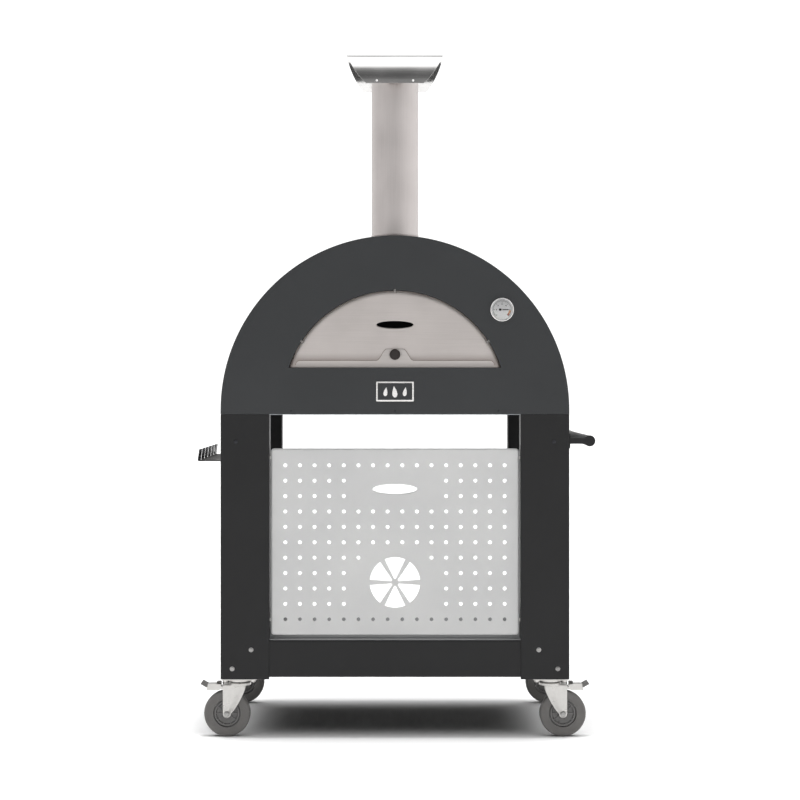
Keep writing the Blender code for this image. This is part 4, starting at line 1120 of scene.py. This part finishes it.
# --- Casters --------------------------------------------------------------------------------------
# Four swivel casters of 125 mm: a bolted plate with a ball race, a pressed zinc fork, an axle bolt and nut,
# a grey nylon wheel and a grey rubber tyre. The front two have a pedal brake that presses on the tyre.

# Grey rubber gives the eye a soft matt skin with fine moulding grain and a little floor dust.
rubber, shader, spot = started("grey caster rubber", Roughness=0.62, IOR=1.5)
linked(rubber, shader, Base_Color=blend(rubber, noise(rubber, spot, 24, 4.0), "646260", "757371"),
       Normal=bump(rubber, noise(rubber, spot, 1.6, 3.0), 0.35, 0.0005))

# Nylon gives the eye a waxy mid grey, slightly clearer than the rubber round it.
nylon = mottled("grey moulded nylon", "686766", "787675", 9, 3.0, 1.0, Roughness=0.42, IOR=1.53)

wheel_radius = 0.0625
plate_sheet = 0.003
fork_out, cheek_out, cheek_swell = 0.4648, 0.0212, 0.0030
tip_radius = 0.0108
sweep_in = ((0.4338, 0.0735), (0.4280, 0.0825), (0.4222, 0.0915), (0.4170, 0.1015), (0.4120, 0.1115),
            (0.4085, 0.1205), (0.4062, 0.1295), (0.4050, 0.1372))
pedal_top = rounded([(0.4500, 0.1345), (0.4690, 0.1350), (0.4712, 0.1411), (0.4860, 0.1429),
                     (0.5090, 0.1422)], 0.002)
pedal_foot = rounded([(0.5090, 0.1256), (0.4775, 0.1256), (0.4690, 0.1284), (0.4500, 0.1294)], 0.003)
pedal_pad = ((0.5062, 0.1424), (0.5198, 0.1500), (0.5206, 0.1498), (0.5256, 0.1426), (0.5254, 0.1418),
             (0.5102, 0.1334), (0.5066, 0.1340))
release_tab = ((0.4700, 0.1410), (0.4698, 0.1478), (0.4712, 0.1490), (0.4806, 0.1488), (0.4822, 0.1474),
               (0.4818, 0.1412))
cuboid = ((0, 1, 3, 2), (4, 6, 7, 5), (0, 4, 5, 1), (2, 3, 7, 6), (0, 2, 6, 4), (1, 5, 7, 3))


def both_sides(half):
    """A ring's (radius, y) outline, from the half of it on one side."""
    return half + [(radius, -y) for radius, y in half[::-1]]


for place, hand, side in ((p, h, s) for p, _ in fore_and_aft for h, s in both_hands):
    corner = f"{place}_{hand}"
    swivel, wheel, brake = "swivel_" + corner, "wheel_" + corner, "brake_" + corner
    plate_low, plate_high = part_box("caster_plate_" + corner)
    fork_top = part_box("caster_fork_" + corner)[1].z
    axle_low, axle_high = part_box("caster_axle_" + corner)
    hub_low, hub_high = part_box("caster_hub_" + corner)
    middle = (plate_low.y + plate_high.y) / 2
    race = Vector(((plate_low.x + plate_high.x) / 2, middle, 0))
    axle = Vector(((hub_low.x + hub_high.x) / 2, middle, wheel_radius))

    outline = round_rectangle((plate_low.x, plate_low.y), (plate_high.x, plate_high.y), 0.010, 0.0, 6)
    shape = flat_face(outline, [], -plate_high.z)[0]
    bmesh.ops.rotate(shape, verts=shape.verts, matrix=Matrix.Rotation(-math.pi / 2, 3, "X"))
    piece(shape, "caster_top_plate_" + corner, oven, zinc, ["caster_plate_" + corner],
          plate_sheet, 0.0005)
    seat = plate_low.z
    under = plate_high.z - plate_sheet
    cup = turned([(0, seat + 0.0004), (0.012, seat + 0.0004), (0.014, seat), (0.0255, seat),
                  (0.0280, seat + 0.0012), (0.0290, seat + 0.0032), (0.0290, under - 0.001),
                  (0.0300, under + 0.0002), (0, under + 0.0002)], race, steps=48)
    piece(cup, "caster_race_" + corner, oven, zinc, sharp=30)
    bolts = bmesh.new()
    for x in (-0.0375, 0.0375):
        for y in (-0.0285, 0.0285):
            turned([(0, 0.0002), (0.0078, 0.0002), (0.0078, -0.0010), (0.0062, -0.0012), (0.0062, -0.0012, 6),
                    (0.0062, -0.0050, 6), (0.0050, -0.0058), (0, -0.0058)],
                   race + Vector((x, y, under)), steps=24, shape=bolts)
    piece(bolts, "caster_plate_bolts_" + corner, oven, zinc)

    crown = turned([(0, fork_top), (0.0255, fork_top), (0.0280, fork_top - 0.0006), (0.0297, fork_top - 0.0022),
                    (0.0300, fork_top - 0.0045), (0.0300, fork_top - 0.0078), (0.0280, fork_top - 0.0087),
                    (0, fork_top - 0.0087)], race, steps=48)
    piece(crown, "caster_crown_" + corner, swivel, zinc, ["caster_fork_" + corner], sharp=30)
    bridge = block((side * 0.4046, middle - 0.0210, 0.1366), (side * fork_out, middle + 0.0210, 0.1410))
    piece(bridge, "caster_fork_top_" + corner, swivel, zinc, edge=0.0016)
    turns = [math.radians(a) for a in (-86, -65, -45, -22, 0)]
    sweep = [(abs(axle.x) - tip_radius * math.cos(t), abs(axle.x) + tip_radius * math.cos(t),
              axle.z + tip_radius * math.sin(t)) for t in turns]
    sweep += [(near, fork_out, z) for near, z in sweep_in]
    for name, face in (("near", -1), ("far", 1)):
        rows = []
        for near, far, z in sweep:
            swell = cheek_swell * min(1.0, (far - near) / 0.040)
            hollows = [cheek_out - swell * (0.5 - 0.5 * math.cos(2 * math.pi * i / 12)) for i in range(13)]
            rows.append([(side * (near + (far - near) * i / 12), middle + face * hollow, z)
                         for i, hollow in enumerate(hollows)])
        shape = facing_out(lofted(rows), (axle.x, middle, 0.1))
        piece(shape, f"caster_cheek_{corner}_{name}", swivel, zinc, thick=0.0020, edge=0.0005)

    head, tail = axle_low.y - middle, axle_high.y - middle
    bolt = turned([(0, head), (0.0052, head), (0.0062, head + 0.0007, 6), (0.0062, -0.0215, 6),
                   (0.0068, -0.0215), (0.0070, -0.0213), (0.0040, -0.0213), (0.0040, 0.0213), (0.0070, 0.0213),
                   (0.0070, 0.0220), (0.0061, 0.0221, 6), (0.0061, tail - 0.0012, 6), (0.0050, tail - 0.0004),
                   (0.0036, tail - 0.0004), (0.0034, tail), (0, tail)], axle, (0, 1, 0), 24)
    piece(bolt, "caster_axle_bolt_" + corner, swivel, stainless, ["caster_axle_" + corner])

    outer = (hub_high.z - hub_low.z) / 2
    half = [(0.0044, 0.0170), (0.0100, 0.0170), (0.0112, 0.0160), (0.0128, 0.0100), (0.0145, 0.0080),
            (0.0270, 0.0075), (0.0290, 0.0090), (0.0305, 0.0118), (outer - 0.0032, 0.0120),
            (outer - 0.0024, 0.0112), (outer - 0.0022, 0.0060), (outer, 0.0060)]
    rim = turned(both_sides(half), axle, (0, 1, 0), 64, closed=True)
    for n in range(10):
        turn = 2 * math.pi * n / 10
        out = Vector((math.cos(turn), 0, math.sin(turn)))
        across = Vector((-out.z, 0, out.x)) * 0.0011
        web = [rim.verts.new(axle + out * radius + across * way + Vector((0, y, 0)))
               for y in (-0.0112, 0.0112) for way in (-1, 1) for radius in (0.0115, 0.0310)]
        for quad in cuboid:
            rim.faces.new([web[i] for i in quad])
    piece(rim, "caster_wheel_" + corner, wheel, nylon, ["caster_hub_" + corner], sharp=30)

    half = [(outer + 0.0003, 0.0128), (outer + 0.0016, 0.0138), (0.0480, 0.0150), (0.0545, 0.0158)]
    turns = [math.radians(a) for a in (0, 22, 45, 68, 90)]
    half += [(wheel_radius - 0.0062 + 0.0060 * math.sin(t), 0.0100 + 0.0060 * math.cos(t)) for t in turns]
    half += [(wheel_radius - 0.0001, 0.0040), (wheel_radius - 0.0001, 0.0006), (wheel_radius, 0.0003)]
    tyre = turned(both_sides(half), axle, (0, 1, 0), 96, closed=True)
    piece(tyre, "caster_tyre_moulding_" + corner, wheel, rubber, ["caster_tyre_" + corner],
          sharp=30)

    if place == "front":
        tread = drawn_out([(side * x, z) for x, z in pedal_top], middle - 0.0148, middle + 0.0148)
        shape = facing_out(tread, (side * 0.488, middle, 0.10))
        piece(shape, "brake_tread_" + corner, brake, zinc, ["brake_pedal_" + corner],
              0.0022, 0.0005)
        for name, face in (("near", -1), ("far", 1)):
            outline = [(side * x, z) for x, z in pedal_top + pedal_foot]
            shape = flat_face(outline, [], middle + face * 0.0150)[0]
            if name == "far":
                bmesh.ops.reverse_faces(shape, faces=shape.faces)
            piece(shape, f"brake_side_{corner}_{name}", brake, zinc, thick=0.0018, edge=0.0004)
        for name, outline, half_wide in (("rubber", pedal_pad, 0.0153), ("release_tab", release_tab, 0.0060)):
            shape = flat_face([(side * x, z) for x, z in outline], [], middle - half_wide)[0]
            piece(shape, f"brake_{name}_{corner}", brake, rubber,
                  thick=2 * half_wide, edge=0.0010)


# --- Floor, light and camera ----------------------------------------------------------------------
# A pale floor, and a white studio. Its ceiling and an overhead softbox light the surfaces, which shade the
# floor under the cart. What shines mirrors a brighter right wall and a few dim gaps. The camera is level,
# in front.

floor_reach = 60.0
camera_away, camera_tall = 5.2, 0.945
wall_seen = 1.25
floor = bpy.data.objects.new("floor", bpy.data.meshes.new("floor"))
bpy.context.scene.collection.objects.link(floor)
shape = bmesh.new()
bmesh.ops.create_grid(shape, x_segments=1, y_segments=1, size=floor_reach)
shape.to_mesh(floor.data)
shape.free()
floor.data.materials.append(mottled("pale painted floor", "EFEFEF", "F3F3F3", 500, 2.0, Roughness=0.9, IOR=1.4,
                                    Specular_IOR_Level=0.05))

world = bpy.data.worlds.new("studio")
bpy.context.scene.world = world
world.use_nodes = True
sky = world.node_tree.nodes["Background"]
looking = add(world, "TexCoord").outputs["Generated"]


def patch(direction, rim, core, strength, base=1.0):
    """A soft round patch of the studio's walls, round a direction, brighter or darker than the rest."""
    toward = add(world, "VectorMath", {0: looking, 1: direction}, operation="DOT_PRODUCT").outputs["Value"]
    return ramp(world, toward, rim, core, base, strength, interpolation_type="SMOOTHSTEP")


right_wall = patch((0.5, 0.866, 0.0), -1.0, 1.0, 1.30, 0.72)
softbox_behind = patch((0.0, 0.342, 0.940), 0.860, 0.950, 1.70)
dim_wall_behind = patch((0.0, 0.966, 0.259), 0.800, 0.940, 0.55)
gap_above = patch((0.0, -0.423, 0.906), 0.9135, 0.985, 0.42)
gap_in_front = patch((0.0, -0.707, 0.707), 0.800, 0.980, 0.40)
mirrored = right_wall
for part in (softbox_behind, dim_wall_behind, gap_above, gap_in_front):
    mirrored = product(world, mirrored, part)
ceiling = ramp(world, upward(world, looking), 0.52, 0.94, 0.0, 2.55, interpolation_type="SMOOTHSTEP")
lit = product(world, right_wall, ceiling)
ray = add(world, "LightPath")
light = add(world, "Mix", {0: ray.outputs["Is Diffuse Ray"], 2: mirrored, 3: lit})
strength = add(world, "Mix", {0: ray.outputs["Is Camera Ray"], 2: light.outputs[0], 3: wall_seen})
world.node_tree.links.new(strength.outputs[0], sky.inputs["Strength"])
sky.inputs["Color"].default_value = (1.0, 1.0, 1.0, 1.0)

sun = bpy.data.lights.new("overhead softbox", "SUN")
sun.energy, sun.angle = 1.6, math.radians(8)
lamp = bpy.data.objects.new("overhead softbox", sun)
lamp.visible_glossy = False
bpy.context.scene.collection.objects.link(lamp)

camera = bpy.data.objects.new("camera", bpy.data.cameras.new("camera"))
camera.data.lens, camera.data.sensor_width = 87.0, 36.0
camera.data.shift_x, camera.data.shift_y = 0.0063, -0.01625
camera.data.clip_end = 200.0
camera.location = (0.0, fascia_low.y - camera_away, camera_tall)
camera.rotation_euler = (math.radians(90), 0, 0)
bpy.context.scene.collection.objects.link(camera)
bpy.context.scene.camera = camera
bpy.context.scene.view_settings.view_transform = "Standard"
